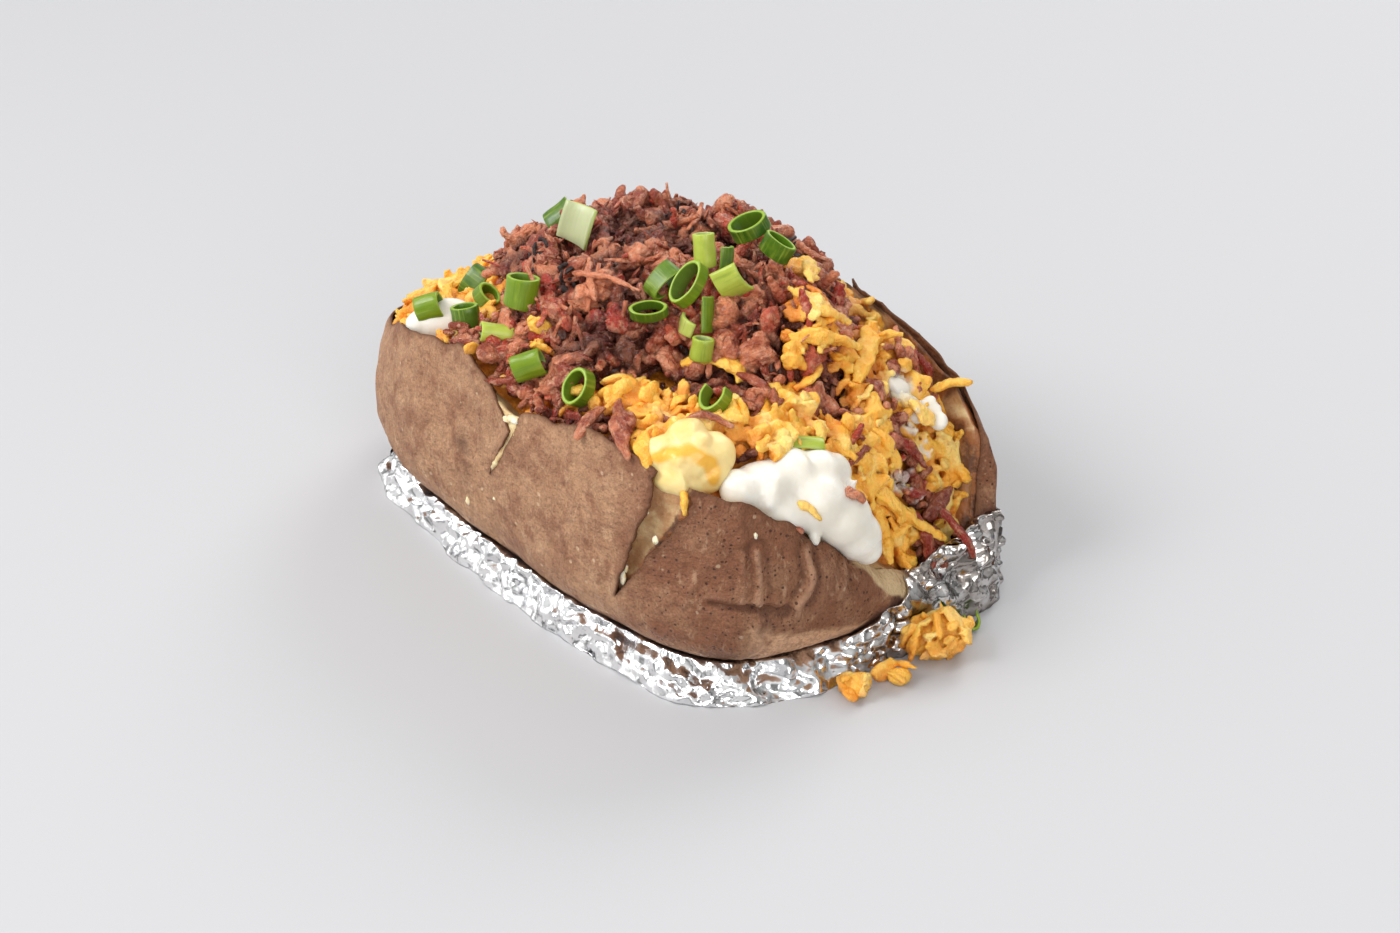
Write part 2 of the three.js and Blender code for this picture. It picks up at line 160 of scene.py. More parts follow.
def lumps(x, y, z, size, seed):
    """A smooth lumpy field of about -1 to 1."""
    k = TURN / size
    return (
        np.sin(k * (0.83 * x + 0.55 * y) + 1.7 * seed)
        + np.sin(k * (0.92 * y - 0.38 * z) + 2.3 * seed + 1)
        + np.sin(k * (0.74 * z + 0.67 * x) + 3.1 * seed + 2)
        + np.sin(k * (1.31 * x - 1.13 * y + 0.57 * z) + 4.7 * seed)
    ) / 3


def scrambled(cell):
    """A random whole number for each cell of a grid."""
    mixed = (cell[:, 0] * 73856093 ^ cell[:, 1] * 19349663 ^ cell[:, 2] * 83492791) & 0xFFFFFFFF
    mixed = (mixed ^ mixed >> 13) * 1274126177 & 0xFFFFFFFF
    return (mixed ^ mixed >> 16) * 668265263 & 0xFFFFFFFF


def noise(points, size, seed):
    """Even random noise of -1 to 1, with cells of the given size in mm."""
    place = np.atleast_2d(points) / size + seed * 7.31
    cell = np.floor(place).astype(np.int64)
    part = place - cell
    part = part * part * (3 - 2 * part)
    total = np.zeros(len(place))
    for corner in range(8):
        step = np.array([corner & 1, corner >> 1 & 1, corner >> 2 & 1])
        value = (scrambled(cell + step) >> 8 & 0xFFFF) / 32767.5 - 1
        total += value * np.prod(np.where(step, part, 1 - part), axis=1)
    return total


def noise_vectors(points, size, seed):
    """Three separate noises, as a push along x, y and z."""
    return np.stack([noise(points, size, seed + k) for k in range(3)], axis=1)


def clusters(points, size, seed):
    """Scattered clusters about size mm wide: how deep inside its own each point is, 0 at its edge."""
    place = np.atleast_2d(points) / size + seed * 5.17
    cell = np.floor(place).astype(np.int64)
    nearest = np.full(len(place), 9.0)
    second = nearest.copy()
    for corner in range(27):
        at = cell + np.array([corner % 3, corner // 3 % 3, corner // 9]) - 1
        number = scrambled(at)
        jitter = np.stack([number >> shift & 0xFF for shift in (4, 12, 20)], axis=1) / 255
        away = np.linalg.norm(place - at - 0.1 - 0.8 * jitter, axis=1)
        second = np.where(away < nearest, nearest, np.minimum(second, away))
        nearest = np.minimum(nearest, away)
    return second - nearest


def near_path(points, path):
    """How far each point is from a line drawn through a few others."""
    path = np.array(path, dtype=float)
    nearest = np.full(len(points), 99.0)
    for start, stop in zip(path, path[1:]):
        step = stop - start
        along = np.clip((points - start) @ step / (step @ step), 0, 1)
        nearest = np.minimum(nearest, np.linalg.norm(points - start - along[:, None] * step, axis=1))
    return nearest


def rough(points, size, seed, octaves=3):
    """Noise with finer noise on it."""
    return sum(noise(points, size / 2**k, seed + k) / 2**k for k in range(octaves)) / 1.6


def unit(vectors):
    return vectors / np.maximum(np.linalg.norm(vectors, axis=-1, keepdims=True), 1e-9)


def polar(angle, radius, height):
    angle, radius, height = np.broadcast_arrays(angle, radius, height)
    return np.stack([radius * np.cos(angle), radius * np.sin(angle), height], axis=-1)


def laid_flat(x, y):
    """Places in plan as a list of points at height 0."""
    return np.stack([x, y, 0 * x], axis=-1).reshape(-1, 3)


def outward(points):
    """The level direction away from the potato's middle."""
    return unit(points * [1, 1, 0])


def plan_radius(angle):
    across = np.abs(np.cos(angle) / (LENGTH / 2)) ** OUTLINE_POWER
    along = np.abs(np.sin(angle) / (WIDTH / 2)) ** OUTLINE_POWER
    return (across + along) ** (-1 / OUTLINE_POWER) + round_table(OUTLINE_SWELL, angle)


def rim_radius(angle):
    return plan_radius(angle) * (1 - RIM_LEAN)


def rim_height(angle):
    return round_table(RIM_HEIGHTS, angle)


def belly_height(rim):
    """Where the wall is widest, below a rim of the given height."""
    return np.minimum(BELLY_HEIGHT, BELLY_SHARE * rim)


def up_wall(rise):
    """How far up its wall a place on the skin is, from the belly at 0 to the rim at 1."""
    return np.clip((rise - WALL_FOOT) / (1 - WALL_FOOT), 0, 1)


def rise_steps(below, above):
    """Shares of the way up the skin: some steps under the wall, then some up it."""
    foot = np.linspace(0.1, WALL_FOOT, below, endpoint=False)
    return np.concatenate([foot, np.linspace(WALL_FOOT, 1, above)])


def skin_point(angle, rise):
    """The potato's outside, from the middle of its underside at rise 0 to the rim at 1."""
    rim = rim_height(angle)
    belly = belly_height(rim)
    turn = np.clip(rise / WALL_FOOT, 0, 1) * math.pi / 2
    up = up_wall(rise)
    under = rise < WALL_FOOT
    plan = np.where(under, np.sin(turn) ** 0.34, 1 - RIM_LEAN * up**LEAN_POWER)
    low = belly - (belly - POTATO_BOTTOM) * np.abs(np.cos(turn)) ** 0.7
    height = np.where(under, low, mix(belly, rim, up))
    radius = plan_radius(angle) * plan
    x, y = radius * np.cos(angle), radius * np.sin(angle)
    return polar(angle, radius + 0.8 * plan * lumps(x, y, height, 46, 2), height)


def trough_point(angle, inward):
    """The hollow in the flesh, from the rim at 0 to its middle at 1."""
    rim = rim_height(angle)
    power = np.where(rim > TROUGH_FLOOR, 0.4, 0.9)
    radius = rim_radius(angle) * (1 - inward) - 3 * np.clip(6 * inward, 0, 1) * (1 - inward)
    return polar(angle, np.maximum(0, radius), mix(rim, TROUGH_FLOOR, inward**power))


def cheese_top(x, y):
    angle = np.arctan2(y, x)
    across = np.clip(np.hypot(x, y) / rim_radius(angle), 0, 1)
    steep = mix(2.8, 6, np.clip(np.cos(angle), 0, 1) ** 3)
    dome = 1 - across**steep
    return mix(rim_height(angle), CHEESE_CROWN, dome) + 1.8 * dome * lumps(x, y, 0, 17, 11)


def beef_share(x, y):
    """How far out a place is on the beef: 0 in its middle and 1 at its edge."""
    dx, dy = x - BEEF_MIDDLE[0], y - BEEF_MIDDLE[1]
    return np.hypot(dx, dy) / round_table(BEEF_REACH, np.arctan2(dy, dx))


def beef_top(x, y):
    dome = 1 - np.clip(beef_share(x, y), 0, 1) ** 6
    return cheese_top(x, y) + BEEF_EDGE + BEEF_DEPTH * dome + 1.8 * dome * lumps(x, y, 0, 14, 17)


def clumps(x, y, size, seed):
    """Rounded clumps at 0 with narrow gaps between them that fall to -1."""
    flat = laid_flat(x, y)
    bend = size * 0.3 * noise_vectors(flat, size * 0.5, seed)
    inside = clusters((flat + bend) * [1, 1, 0], size, seed)
    return (smooth(inside, -0.08, 0.42) - 1).reshape(np.shape(x))


def wavy(x, y, size, seed):
    return noise(laid_flat(x, y), size, seed).reshape(np.shape(x))


# The clumps of cheese at the open end and along the near rim: place in plan, and radius.
CHEESE_CLUMPS = [
    (12, -37, 5), (22, -32, 6), (31.5, -30, 7.5), (37.5, -38.5, 5), (44, -29, 5), (47.5, -19.5, 5.5),
    (38, -24, 4.5), (53.5, -6, 10.5), (60, -14, 6), (61, 5, 5.5), (59, 16, 7.5), (65, 10, 5.5),
    (68, 16, 4.5), (67, 2, 5),
    (67, 9, 5), (75, 13, 4.5), (62, 38, 7), (66, 31, 4), (56, 28, 4.5), (52, 34, 5), (44, 34, 5),
    (37, 41, 5.5), (26, 45, 5), (14, 46, 4.5), (71, 31, 3.5), (55, 45, 4), (48, 50, 4),
]


def clump_share(x, y):
    """1 over the placed clumps of cheese and 0 in the gaps between them."""
    best = np.zeros(np.shape(x))
    bend = 1.8 * wavy(x, y, 5, 127)
    for px, py, radius in CHEESE_CLUMPS:
        away = (np.hypot(x - px, y - py) + bend) / radius
        best = np.maximum(best, np.sqrt(np.clip(1 - away**2 * 0.8, 0, 1)))
    return best


def open_side(x):
    """1 from the middle towards the open end, where the clumps are placed one by one."""
    return smooth(x, 5, 12)


def cheese_relief(x, y):
    plain = 3.4 * clumps(x, y, 10.5, 121)
    placed = 4.6 * (clump_share(x, y) - 0.92)
    return mix(plain, placed, open_side(x)) + 0.7 * wavy(x, y, 5, 123)


def beef_relief(x, y):
    return 4.6 * clumps(x, y, 12.5, 141) + 1.4 * wavy(x, y, 7, 147) + 1.2 * wavy(x, y, 20, 149)


def open_wall(x, y):
    """1 beside the far wall of the open end, where the filling has slumped off it."""
    degrees = np.degrees(np.arctan2(y, x))
    return smooth(degrees, 12, 24) * smooth(degrees, 64, 50)


# ---- Making meshes ------------------------------------------------------------------------------
def make_object(name, points, faces, material=None, values=None):
    """An object from points in mm and arrays of faces. values holds each point's numbers, by name."""
    mesh = bpy.data.meshes.new(name)
    listed = [face for part in faces for face in part.tolist()]
    mesh.from_pydata((np.asarray(points) * MM).tolist(), [], listed)
    mesh.polygons.foreach_set("use_smooth", [True] * len(mesh.polygons))
    made = bpy.data.objects.new(name, mesh)
    for key, numbers in (values or {}).items():
        set_values(made, key, numbers)
    mesh.update()
    bpy.context.scene.collection.objects.link(made)
    if material:
        mesh.materials.append(material)
    return made


def ring_mesh(rings):
    """Points and faces of a closed skin over rings of points, from the pole at its foot up."""
    faces, start = [], 0
    for low, high in zip(rings, rings[1:]):
        a, b = start + np.arange(len(low)), start + len(low) + np.arange(len(high))
        if len(low) == 1:
            faces.append(np.stack([np.full(len(b), a[0]), np.roll(b, -1), b], axis=1))
        elif len(high) == 1:
            faces.append(np.stack([a, np.roll(a, -1), np.full(len(a), b[0])], axis=1))
        else:
            faces.append(np.stack([a, np.roll(a, -1), np.roll(b, -1), b], axis=1))
        start += len(low)
    return np.vstack(rings), faces


def strip_mesh(path, widths, thicknesses, twists=0, sides=6):
    """A flattened strand along a path, closed at both ends."""
    path = np.asarray(path, dtype=float)
    count = len(path)
    ahead = unit(np.gradient(path, axis=0))
    up = np.tile([0.0, 0.0, 1.0], (count, 1))
    across = unit(np.cross(up, ahead) + [1e-4, 2e-4, 0])
    up = np.cross(ahead, across)
    widths, thicknesses, twists = (
        np.broadcast_to(value, count)[:, None] for value in (widths, thicknesses, twists)
    )
    wide = across * np.cos(twists) + up * np.sin(twists)
    tall = up * np.cos(twists) - across * np.sin(twists)
    rings = []
    for side in range(sides):
        turn = TURN * (side + 0.5) / sides
        rings.append(path + wide * widths / 2 * math.cos(turn) + tall * thicknesses / 2 * math.sin(turn))
    grid = np.stack(rings, axis=1)
    points, faces = ring_mesh([path[:1], *grid, path[-1:]])
    return points, faces


def joined(meshes):
    """Points and faces of several meshes as one."""
    points, faces, start = [], [], 0
    for some, corners in meshes:
        points.append(np.asarray(some))
        faces.extend(part + start for part in corners)
        start += len(some)
    return np.vstack(points), faces


def ball(level):
    """Points and faces of a round ball of radius 1."""
    work = bmesh.new()
    bmesh.ops.create_icosphere(work, subdivisions=level, radius=1)
    points = np.array([vert.co[:] for vert in work.verts])
    faces = [np.array([[vert.index for vert in face.verts] for face in work.faces])]
    work.free()
    return points, faces


def lump(seed, size, raggedness, level=2):
    """A chopped piece: an uneven lump of a few dozen faces."""
    points, faces = ball(level)
    shifts = noise(points, 0.8, seed) * raggedness + noise(points, 0.35, seed + 5) * raggedness * 0.5
    return points * (1 + shifts)[:, None] * np.array(size) / 2, faces


def turned_outward(obj):
    """Recalculates which way the faces point."""
    work = bmesh.new()
    work.from_mesh(obj.data)
    bmesh.ops.recalc_face_normals(work, faces=work.faces)
    work.to_mesh(obj.data)
    work.free()
    return obj


def flattened(obj):
    """Applies the modifiers, so the object holds a plain mesh."""
    seen = obj.evaluated_get(bpy.context.evaluated_depsgraph_get())
    mesh = bpy.data.meshes.new_from_object(seen)
    obj.modifiers.clear()
    old, obj.data = obj.data, mesh
    bpy.data.meshes.remove(old)
    return obj


def read_vectors(data, key):
    flat = np.empty(3 * len(data), dtype=np.float32)
    data.foreach_get(key, flat)
    return flat.reshape(-1, 3).astype(float)


def coordinates(obj):
    """An object's points, in mm."""
    return read_vectors(obj.data.vertices, "co") / MM


def move_points(obj, points):
    obj.data.vertices.foreach_set("co", (points * MM).astype(np.float32).ravel())
    obj.data.update()


def normals(obj):
    return read_vectors(obj.data.vertices, "normal")


def set_values(obj, key, numbers):
    """Stores a number for each point as an attribute that a finish reads."""
    data = obj.data.attributes
    made = data.get(key) or data.new(key, "FLOAT", "POINT")
    made.data.foreach_set("value", np.asarray(numbers, "f"))


def set_grain(obj, places):
    """Stores each point's place along its own piece, in mm, which the fibres in a finish follow."""
    made = obj.data.attributes.new("grain", "FLOAT_VECTOR", "POINT")
    made.data.foreach_set("vector", (places * MM).astype(np.float32).ravel())


def values_of(obj, key):
    numbers = np.empty(len(obj.data.vertices), dtype=np.float32)
    obj.data.attributes[key].data.foreach_get("value", numbers)
    return numbers


def run_together(obj, voxel, rounds):
    """Makes pieces that overlap into one skin, in voxels of a size in mm, then smooths it."""
    union = obj.modifiers.new("union", "REMESH")
    union.mode, union.voxel_size, union.use_smooth_shade = "VOXEL", voxel * MM, True
    if rounds:
        soften = obj.modifiers.new("soften", "SMOOTH")
        soften.factor, soften.iterations = 0.5, rounds


def grown_by(obj, tree, **inputs):
    """Puts a Geometry Nodes tree on an object, with its named inputs set."""
    grown = obj.modifiers.new(tree.name, "NODES")
    grown.node_group = tree
    for item in tree.interface.items_tree:
        if item.name in inputs:
            grown[item.identifier] = inputs[item.name]


def fused(obj, voxel, rounds, cragged, seed, stringy=0.0):
    """Runs touching pieces together into one ragged mass, in mm. Each place on it keeps the tint and
    the grain of the piece it came from, and stringy raises fibres along that grain."""
    finish = obj.data.materials[-1]
    loose = obj.copy()
    loose.data = obj.data.copy()
    bpy.context.scene.collection.objects.link(loose)
    run_together(obj, voxel, rounds)
    grown_by(obj, CARRY, Loose=loose, Finish=finish)
    flattened(obj)
    bpy.data.objects.remove(loose)
    points, out = coordinates(obj), normals(obj)
    bent = points + 1.6 * noise_vectors(points, 3.2, seed)
    crags = 0.7 * (1 - 2 * np.abs(noise(bent, 2.1, seed + 4)))
    shift = cragged * (crags + 0.45 * noise(points, 1.1, seed + 6))
    if stringy:
        grain = read_vectors(obj.data.attributes["grain"].data, "vector") / MM
        shift += stringy * (1 - 2 * np.abs(rough(grain * [1, 1, 0.16], 1.7, seed + 8, 2)))
    move_points(obj, points + out * shift[:, None])


# ---- Shader helpers -----------------------------------------------------------------------------
def srgb(red, green, blue):
    """A colour given as 0 to 255, as Blender's linear colour."""
    def line(value):
        value /= 255
        return value / 12.92 if value < 0.04045 else ((value + 0.055) / 1.055) ** 2.4
    return (line(red), line(green), line(blue), 1)


def add_node(tree, kind, inputs=None, **settings):
    """Adds a node. An input is a number or colour, or an output socket to link."""
    made = tree.nodes.new(kind)
    for key, value in settings.items():
        setattr(made, key, value)
    for key, value in (inputs or {}).items():
        if isinstance(value, bpy.types.NodeSocket):
            tree.links.new(value, made.inputs[key])
        else:
            made.inputs[key].default_value = value
    return made


def math_node(tree, operation, *values):
    return add_node(tree, "ShaderNodeMath", dict(enumerate(values)), operation=operation).outputs[0]


def vector_node(tree, operation, *values):
    keys = (0, "Scale") if operation == "SCALE" else (0, 1)
    made = add_node(tree, "ShaderNodeVectorMath", dict(zip(keys, values)), operation=operation)
    return made.outputs["Value" if operation == "DOT_PRODUCT" else 0]


def mixed_colour(tree, share, first, second):
    return add_node(tree, "ShaderNodeMix", {0: share, 6: first, 7: second}, data_type="RGBA").outputs[2]


def ranged(tree, value, low, high, to_low=0.0, to_high=1.0):
    inputs = {"Value": value, "From Min": low, "From Max": high, "To Min": to_low, "To Max": to_high}
    return add_node(tree, "ShaderNodeMapRange", inputs, interpolation_type="SMOOTHSTEP").outputs[0]


def start_group(name, inputs, output, kind="Float"):
    """An empty shader group. Besides its Place it has the named inputs: numbers, or a vector for None."""
    tree = bpy.data.node_groups.new(name, "ShaderNodeTree")
    for key, value in {"Place": None, **inputs}.items():
        sort = "NodeSocketVector" if value is None else "NodeSocketFloat"
        made = tree.interface.new_socket(key, in_out="INPUT", socket_type=sort)
        if value is not None:
            made.default_value = value
    tree.interface.new_socket(output, in_out="OUTPUT", socket_type="NodeSocket" + kind)
    return tree, tree.nodes.new("NodeGroupInput").outputs


def end_group(tree, result):
    tree.links.new(result, tree.nodes.new("NodeGroupOutput").inputs[0])
    return tree


def cells_per_metre(tree, size):
    """A texture's scale from a size in mm."""
    return math_node(tree, "DIVIDE", 1 / MM, size)


def cloud_node(tree, place, scale, detail, roughness=0.5):
    inputs = {"Vector": place, "Scale": scale, "Detail": detail, "Roughness": roughness}
    return add_node(tree, "ShaderNodeTexNoise", inputs)


def uneven_cells(tree, place, scale, detail, bend):
    """Cells whose edges wander, so that no grid shows."""
    wander = cloud_node(tree, place, scale, detail).outputs["Color"]
    bent = add_node(tree, "ShaderNodeMix", {0: bend, 4: place, 5: wander}, data_type="VECTOR")
    return add_node(tree, "ShaderNodeTexVoronoi", {"Vector": bent.outputs[1], "Scale": scale}).outputs


def make_mottle_group():
    """Patches of one tone in another, at a size in mm."""
    tree, entry = start_group("mottle", {"Size": 5.0, "Detail": 3.0, "Low": 0.4, "High": 0.6}, "Mask")
    scale = cells_per_metre(tree, entry["Size"])
    cloud = cloud_node(tree, entry["Place"], scale, entry["Detail"], 0.6).outputs[0]
    ends = {"Value": cloud, "From Min": entry["Low"], "From Max": entry["High"]}
    return end_group(tree, add_node(tree, "ShaderNodeMapRange", ends).outputs[0])


def make_fleck_group():
    """Small scattered dots, at a spacing in mm and a share of the spacing that each fills."""
    tree, entry = start_group("flecks", {"Spacing": 1.5, "Fill": 0.3, "Amount": 0.5}, "Mask")
    scale = cells_per_metre(tree, entry["Spacing"])
    cells = uneven_cells(tree, entry["Place"], scale, 2.0, 0.0006)
    picked = add_node(tree, "ShaderNodeSeparateColor", {"Color": cells["Color"]})
    chosen = math_node(tree, "LESS_THAN", picked.outputs[0], entry["Amount"])
    size = math_node(tree, "MULTIPLY", picked.outputs[1], entry["Fill"])
    ends = {"Value": cells["Distance"], "From Min": size, "From Max": 0.0}
    dot = add_node(tree, "ShaderNodeMapRange", ends).outputs[0]
    sharp = math_node(tree, "MINIMUM", math_node(tree, "MULTIPLY", dot, 2.5), 1.0)
    return end_group(tree, math_node(tree, "MULTIPLY", sharp, chosen))


def make_relief_group():
    """A fine uneven height, in which Stretch above 1 draws the grain out upwards."""
    tree, entry = start_group("fine_relief", {"Size": 1.0, "Stretch": 1.0, "Detail": 3.0}, "Height")
    narrow = math_node(tree, "DIVIDE", 1.0, entry["Stretch"])
    squeeze = add_node(tree, "ShaderNodeCombineXYZ", {"X": 1.0, "Y": 1.0, "Z": narrow}).outputs[0]
    place = vector_node(tree, "MULTIPLY", entry["Place"], squeeze)
    cloud = cloud_node(tree, place, cells_per_metre(tree, entry["Size"]), entry["Detail"], 0.62)
    return end_group(tree, cloud.outputs[0])


def make_facet_group():
    """Flat creased facets at a size in mm: the surface's normal, tipped another way in each."""
    tree, entry = start_group("facets", {"Size": 3.0, "Tip": 0.5, "Normal": None}, "Normal", "Vector")
    cells = uneven_cells(tree, entry["Place"], cells_per_metre(tree, entry["Size"]), 1.0, 0.0016)
    middle = vector_node(tree, "SUBTRACT", cells["Color"], (0.5, 0.5, 0.5))
    tipped = vector_node(tree, "SCALE", middle, entry["Tip"])
    whole = vector_node(tree, "ADD", tipped, entry["Normal"])
    return end_group(tree, vector_node(tree, "NORMALIZE", whole))


MOTTLE = make_mottle_group()
FLECKS = make_fleck_group()
RELIEF = make_relief_group()
FACETS = make_facet_group()


class Finish:
    """A material whose colour is built up in layers, and short ways to add to it."""

    def __init__(self, name, glow=None, **sockets):
        self.material = bpy.data.materials.new(name)
        self.material.use_nodes = True
        self.tree = self.material.node_tree
        self.shader = self.tree.nodes["Principled BSDF"]
        for key, value in sockets.items():
            self.shader.inputs[key.replace("_", " ")].default_value = value
        if glow:
            self.shader.inputs["Subsurface Radius"].default_value = glow
        self.place = add_node(self.tree, "ShaderNodeTexCoord").outputs["Object"]

    def group(self, tree, place=None, **inputs):
        inputs["Place"] = place or self.place
        return add_node(self.tree, "ShaderNodeGroup", inputs, node_tree=tree).outputs[0]

    def mottle(self, size, detail, low=0.35, high=0.65):
        return self.group(MOTTLE, Size=size, Detail=detail, Low=low, High=high)

    def relief(self, size, detail, stretch=1.0, place=None):
        return self.group(RELIEF, place, Size=size, Detail=detail, Stretch=stretch)

    def attribute(self, name, output="Fac"):
        return add_node(self.tree, "ShaderNodeAttribute", attribute_name=name).outputs[output]

    def mix(self, share, first, second):
        return mixed_colour(self.tree, share, first, second)

    def calc(self, operation, *values):
        return math_node(self.tree, operation, *values)

    def times(self, first, second):
        return self.calc("MULTIPLY", first, second)

    def plus(self, first, second):
        return self.calc("ADD", first, second)

    def ranged(self, value, low, high, to_low=0.0, to_high=1.0):
        return ranged(self.tree, value, low, high, to_low, to_high)

    def start(self, share, first, second):
        """The first layer: two colours, each as 0 to 255, mixed by a share."""
        self.colour = self.mix(share, srgb(*first), srgb(*second))

    def over(self, share, *colour):
        """A colour laid over the layers so far, as thick as its share."""
        self.colour = self.mix(share, self.colour, srgb(*colour))

    def set(self, key, socket):
        self.tree.links.new(socket, self.shader.inputs[key])

    def dull(self, share, least, most):
        """Roughness that goes from one value to another with a share."""
        self.set("Roughness", self.ranged(share, 0.0, 1.0, least, most))

    def bump(self, height, strength, distance_mm):
        inputs = {"Height": height, "Strength": strength, "Distance": distance_mm * MM}
        self.set("Normal", add_node(self.tree, "ShaderNodeBump", inputs).outputs[0])

    def done(self):
        self.set("Base Color", self.colour)
        return self.material


# ---- Materials ----------------------------------------------------------------------------------
def skin_finish():
    """Baked skin: tan, browner where it roasted most, speckled, finely wrinkled, with painted bounce light
    and shade.
    """
    look = Finish("baked_skin", Roughness=0.6, Specular_IOR_Level=0.35)
    roast, crest = look.attribute("roast"), look.attribute("crest")
    wide = look.mottle(14.0, 6.0, 0.36, 0.64)
    small = look.mottle(2.6, 5.0, 0.35, 0.68)
    grit = look.mottle(0.7, 3.0, 0.45, 0.66)
    streaks = look.relief(2.2, 5.0, 2.2)
    drift = look.relief(5.5, 6.0, 1.3)
    dots = look.group(FLECKS, Spacing=1.1, Fill=0.42, Amount=0.6)
    pale = look.group(FLECKS, Spacing=3.0, Fill=0.24, Amount=0.4)
    tone = look.plus(roast, look.times(look.calc("SUBTRACT", wide, 0.48), 0.8))
    look.start(tone, (184, 141, 106), (134, 85, 58))
    # Painted bounce light: below 0 the skin turns paler than any tan.
    look.over(look.ranged(roast, 0.0, -0.6, 0, 0.9), 224, 176, 138)
    look.over(look.times(small, 0.3), 128, 84, 58)
    look.over(look.ranged(drift, 0.5, 0.66, 0, 0.7), 134, 86, 60)
    fair = look.times(look.ranged(drift, 0.46, 0.32, 0, 0.65), look.ranged(roast, 0.3, 1.0, 1.0, 0.25))
    look.over(fair, 200, 158, 122)
    look.over(look.times(grit, look.ranged(roast, 0.2, 0.9, 0.36, 0.62)), 104, 66, 44)
    look.over(look.ranged(crest, 0.1, 0.9, 0, 0.4), 196, 154, 124)
    # Painted shade in the creases between the folds.
    look.over(look.ranged(crest, -0.1, -0.7, 0, 0.6), 84, 48, 32)
    look.over(look.ranged(streaks, 0.56, 0.74, 0, 0.35), 222, 184, 148)
    look.over(look.ranged(streaks, 0.44, 0.28, 0, 0.35), 112, 68, 46)
    look.over(look.times(dots, look.ranged(roast, 0.15, 0.9, 0.15, 0.9)), 66, 38, 28)
    look.over(look.times(pale, 0.5), 222, 192, 160)
    # Real stains and a bruise, and painted shade along the foil line.
    look.over(look.attribute("stain"), 84, 52, 38)
    look.over(look.attribute("torn"), 104, 64, 38)
    look.over(look.attribute("bare"), 206, 178, 136)
    look.dull(small, 0.66, 0.5)
    height = look.plus(look.times(streaks, 0.9), look.times(look.relief(0.9, 3.0, 1.3), 0.6))
    height = look.plus(height, look.times(look.plus(drift, small), 0.9))
    look.bump(look.calc("SUBTRACT", height, look.times(dots, 0.35)), 0.7, 0.9)
    return look.done()


def flesh_finish():
    """Fluffy pale flesh, a little yellow, browned where it meets the skin."""
    look = Finish("potato_flesh", (1.0, 0.8, 0.45), Subsurface_Weight=0.25, Subsurface_Scale=0.002)
    look.start(look.mottle(5.0, 4.0), (240, 222, 172), (210, 172, 116))
    near_skin = look.attribute("under_skin")
    browned = look.plus(near_skin, look.times(look.mottle(7.0, 4.0, 0.42, 0.6), 0.45))
    look.over(look.calc("MINIMUM", browned, 1.0), 160, 100, 56)
    wet = look.ranged(near_skin, 0.35, 0.7)
    look.over(look.times(look.times(wet, look.mottle(5.0, 5.0, 0.42, 0.54)), 0.8), 80, 48, 32)
    look.dull(wet, 0.55, 0.3)
    look.bump(look.relief(1.4, 5.0), 0.7, 0.8)
    return look.done()


def foil_finish():
    """Bright crumpled foil; at the open end its facets tip further, and painted shade darkens and browns
    it.
    """
    look = Finish("kitchen_foil", Metallic=1.0, Roughness=0.2)
    dull, crush = look.mottle(7.0, 3.0), look.attribute("crush")
    look.start(dull, (246, 246, 246), (228, 228, 230))
    # Painted shade on the foil's shaded side at the open end, tinted brown.
    look.over(look.times(crush, look.ranged(dull, 0.0, 1.0, 0.3, 0.75)), 148, 132, 118)
    look.dull(dull, 0.13, 0.26)
    facing = add_node(look.tree, "ShaderNodeNewGeometry").outputs["Normal"]
    wide = look.group(FACETS, Size=5.5, Tip=0.3, Normal=facing)
    tip = look.ranged(crush, 0.0, 1.0, 0.32, 0.5)
    look.set("Normal", look.group(FACETS, Size=1.9, Tip=tip, Normal=wide))
    return look.done()


def cheddar_finish():
    """Grated cheddar: deep yellow with paler broken faces, a little see-through."""
    look = Finish(
        "grated_cheddar", (1.0, 0.55, 0.12), Roughness=0.38, Subsurface_Weight=0.35,
        Subsurface_Scale=0.0018,
    )
    patches, tint = look.mottle(2.2, 4.0), look.attribute("tint")
    look.start(patches, (255, 196, 80), (253, 172, 46))
    look.over(look.times(look.mottle(8.0, 2.0), 0.4), 255, 210, 108)
    look.over(look.ranged(tint, 0.55, 1.0, 0, 0.7), 255, 224, 140)
    look.over(look.ranged(tint, 0.35, 0.0, 0, 0.5), 246, 164, 50)
    # Painted shade in the gaps between the clumps.
    look.over(look.times(look.attribute("deep"), 0.75), 212, 110, 26)
    look.over(look.times(look.attribute("creamed"), 0.9), 238, 230, 216)
    look.dull(patches, 0.3, 0.5)
    look.bump(look.relief(1.3, 3.0), 0.8, 1.2)
    return look.done()


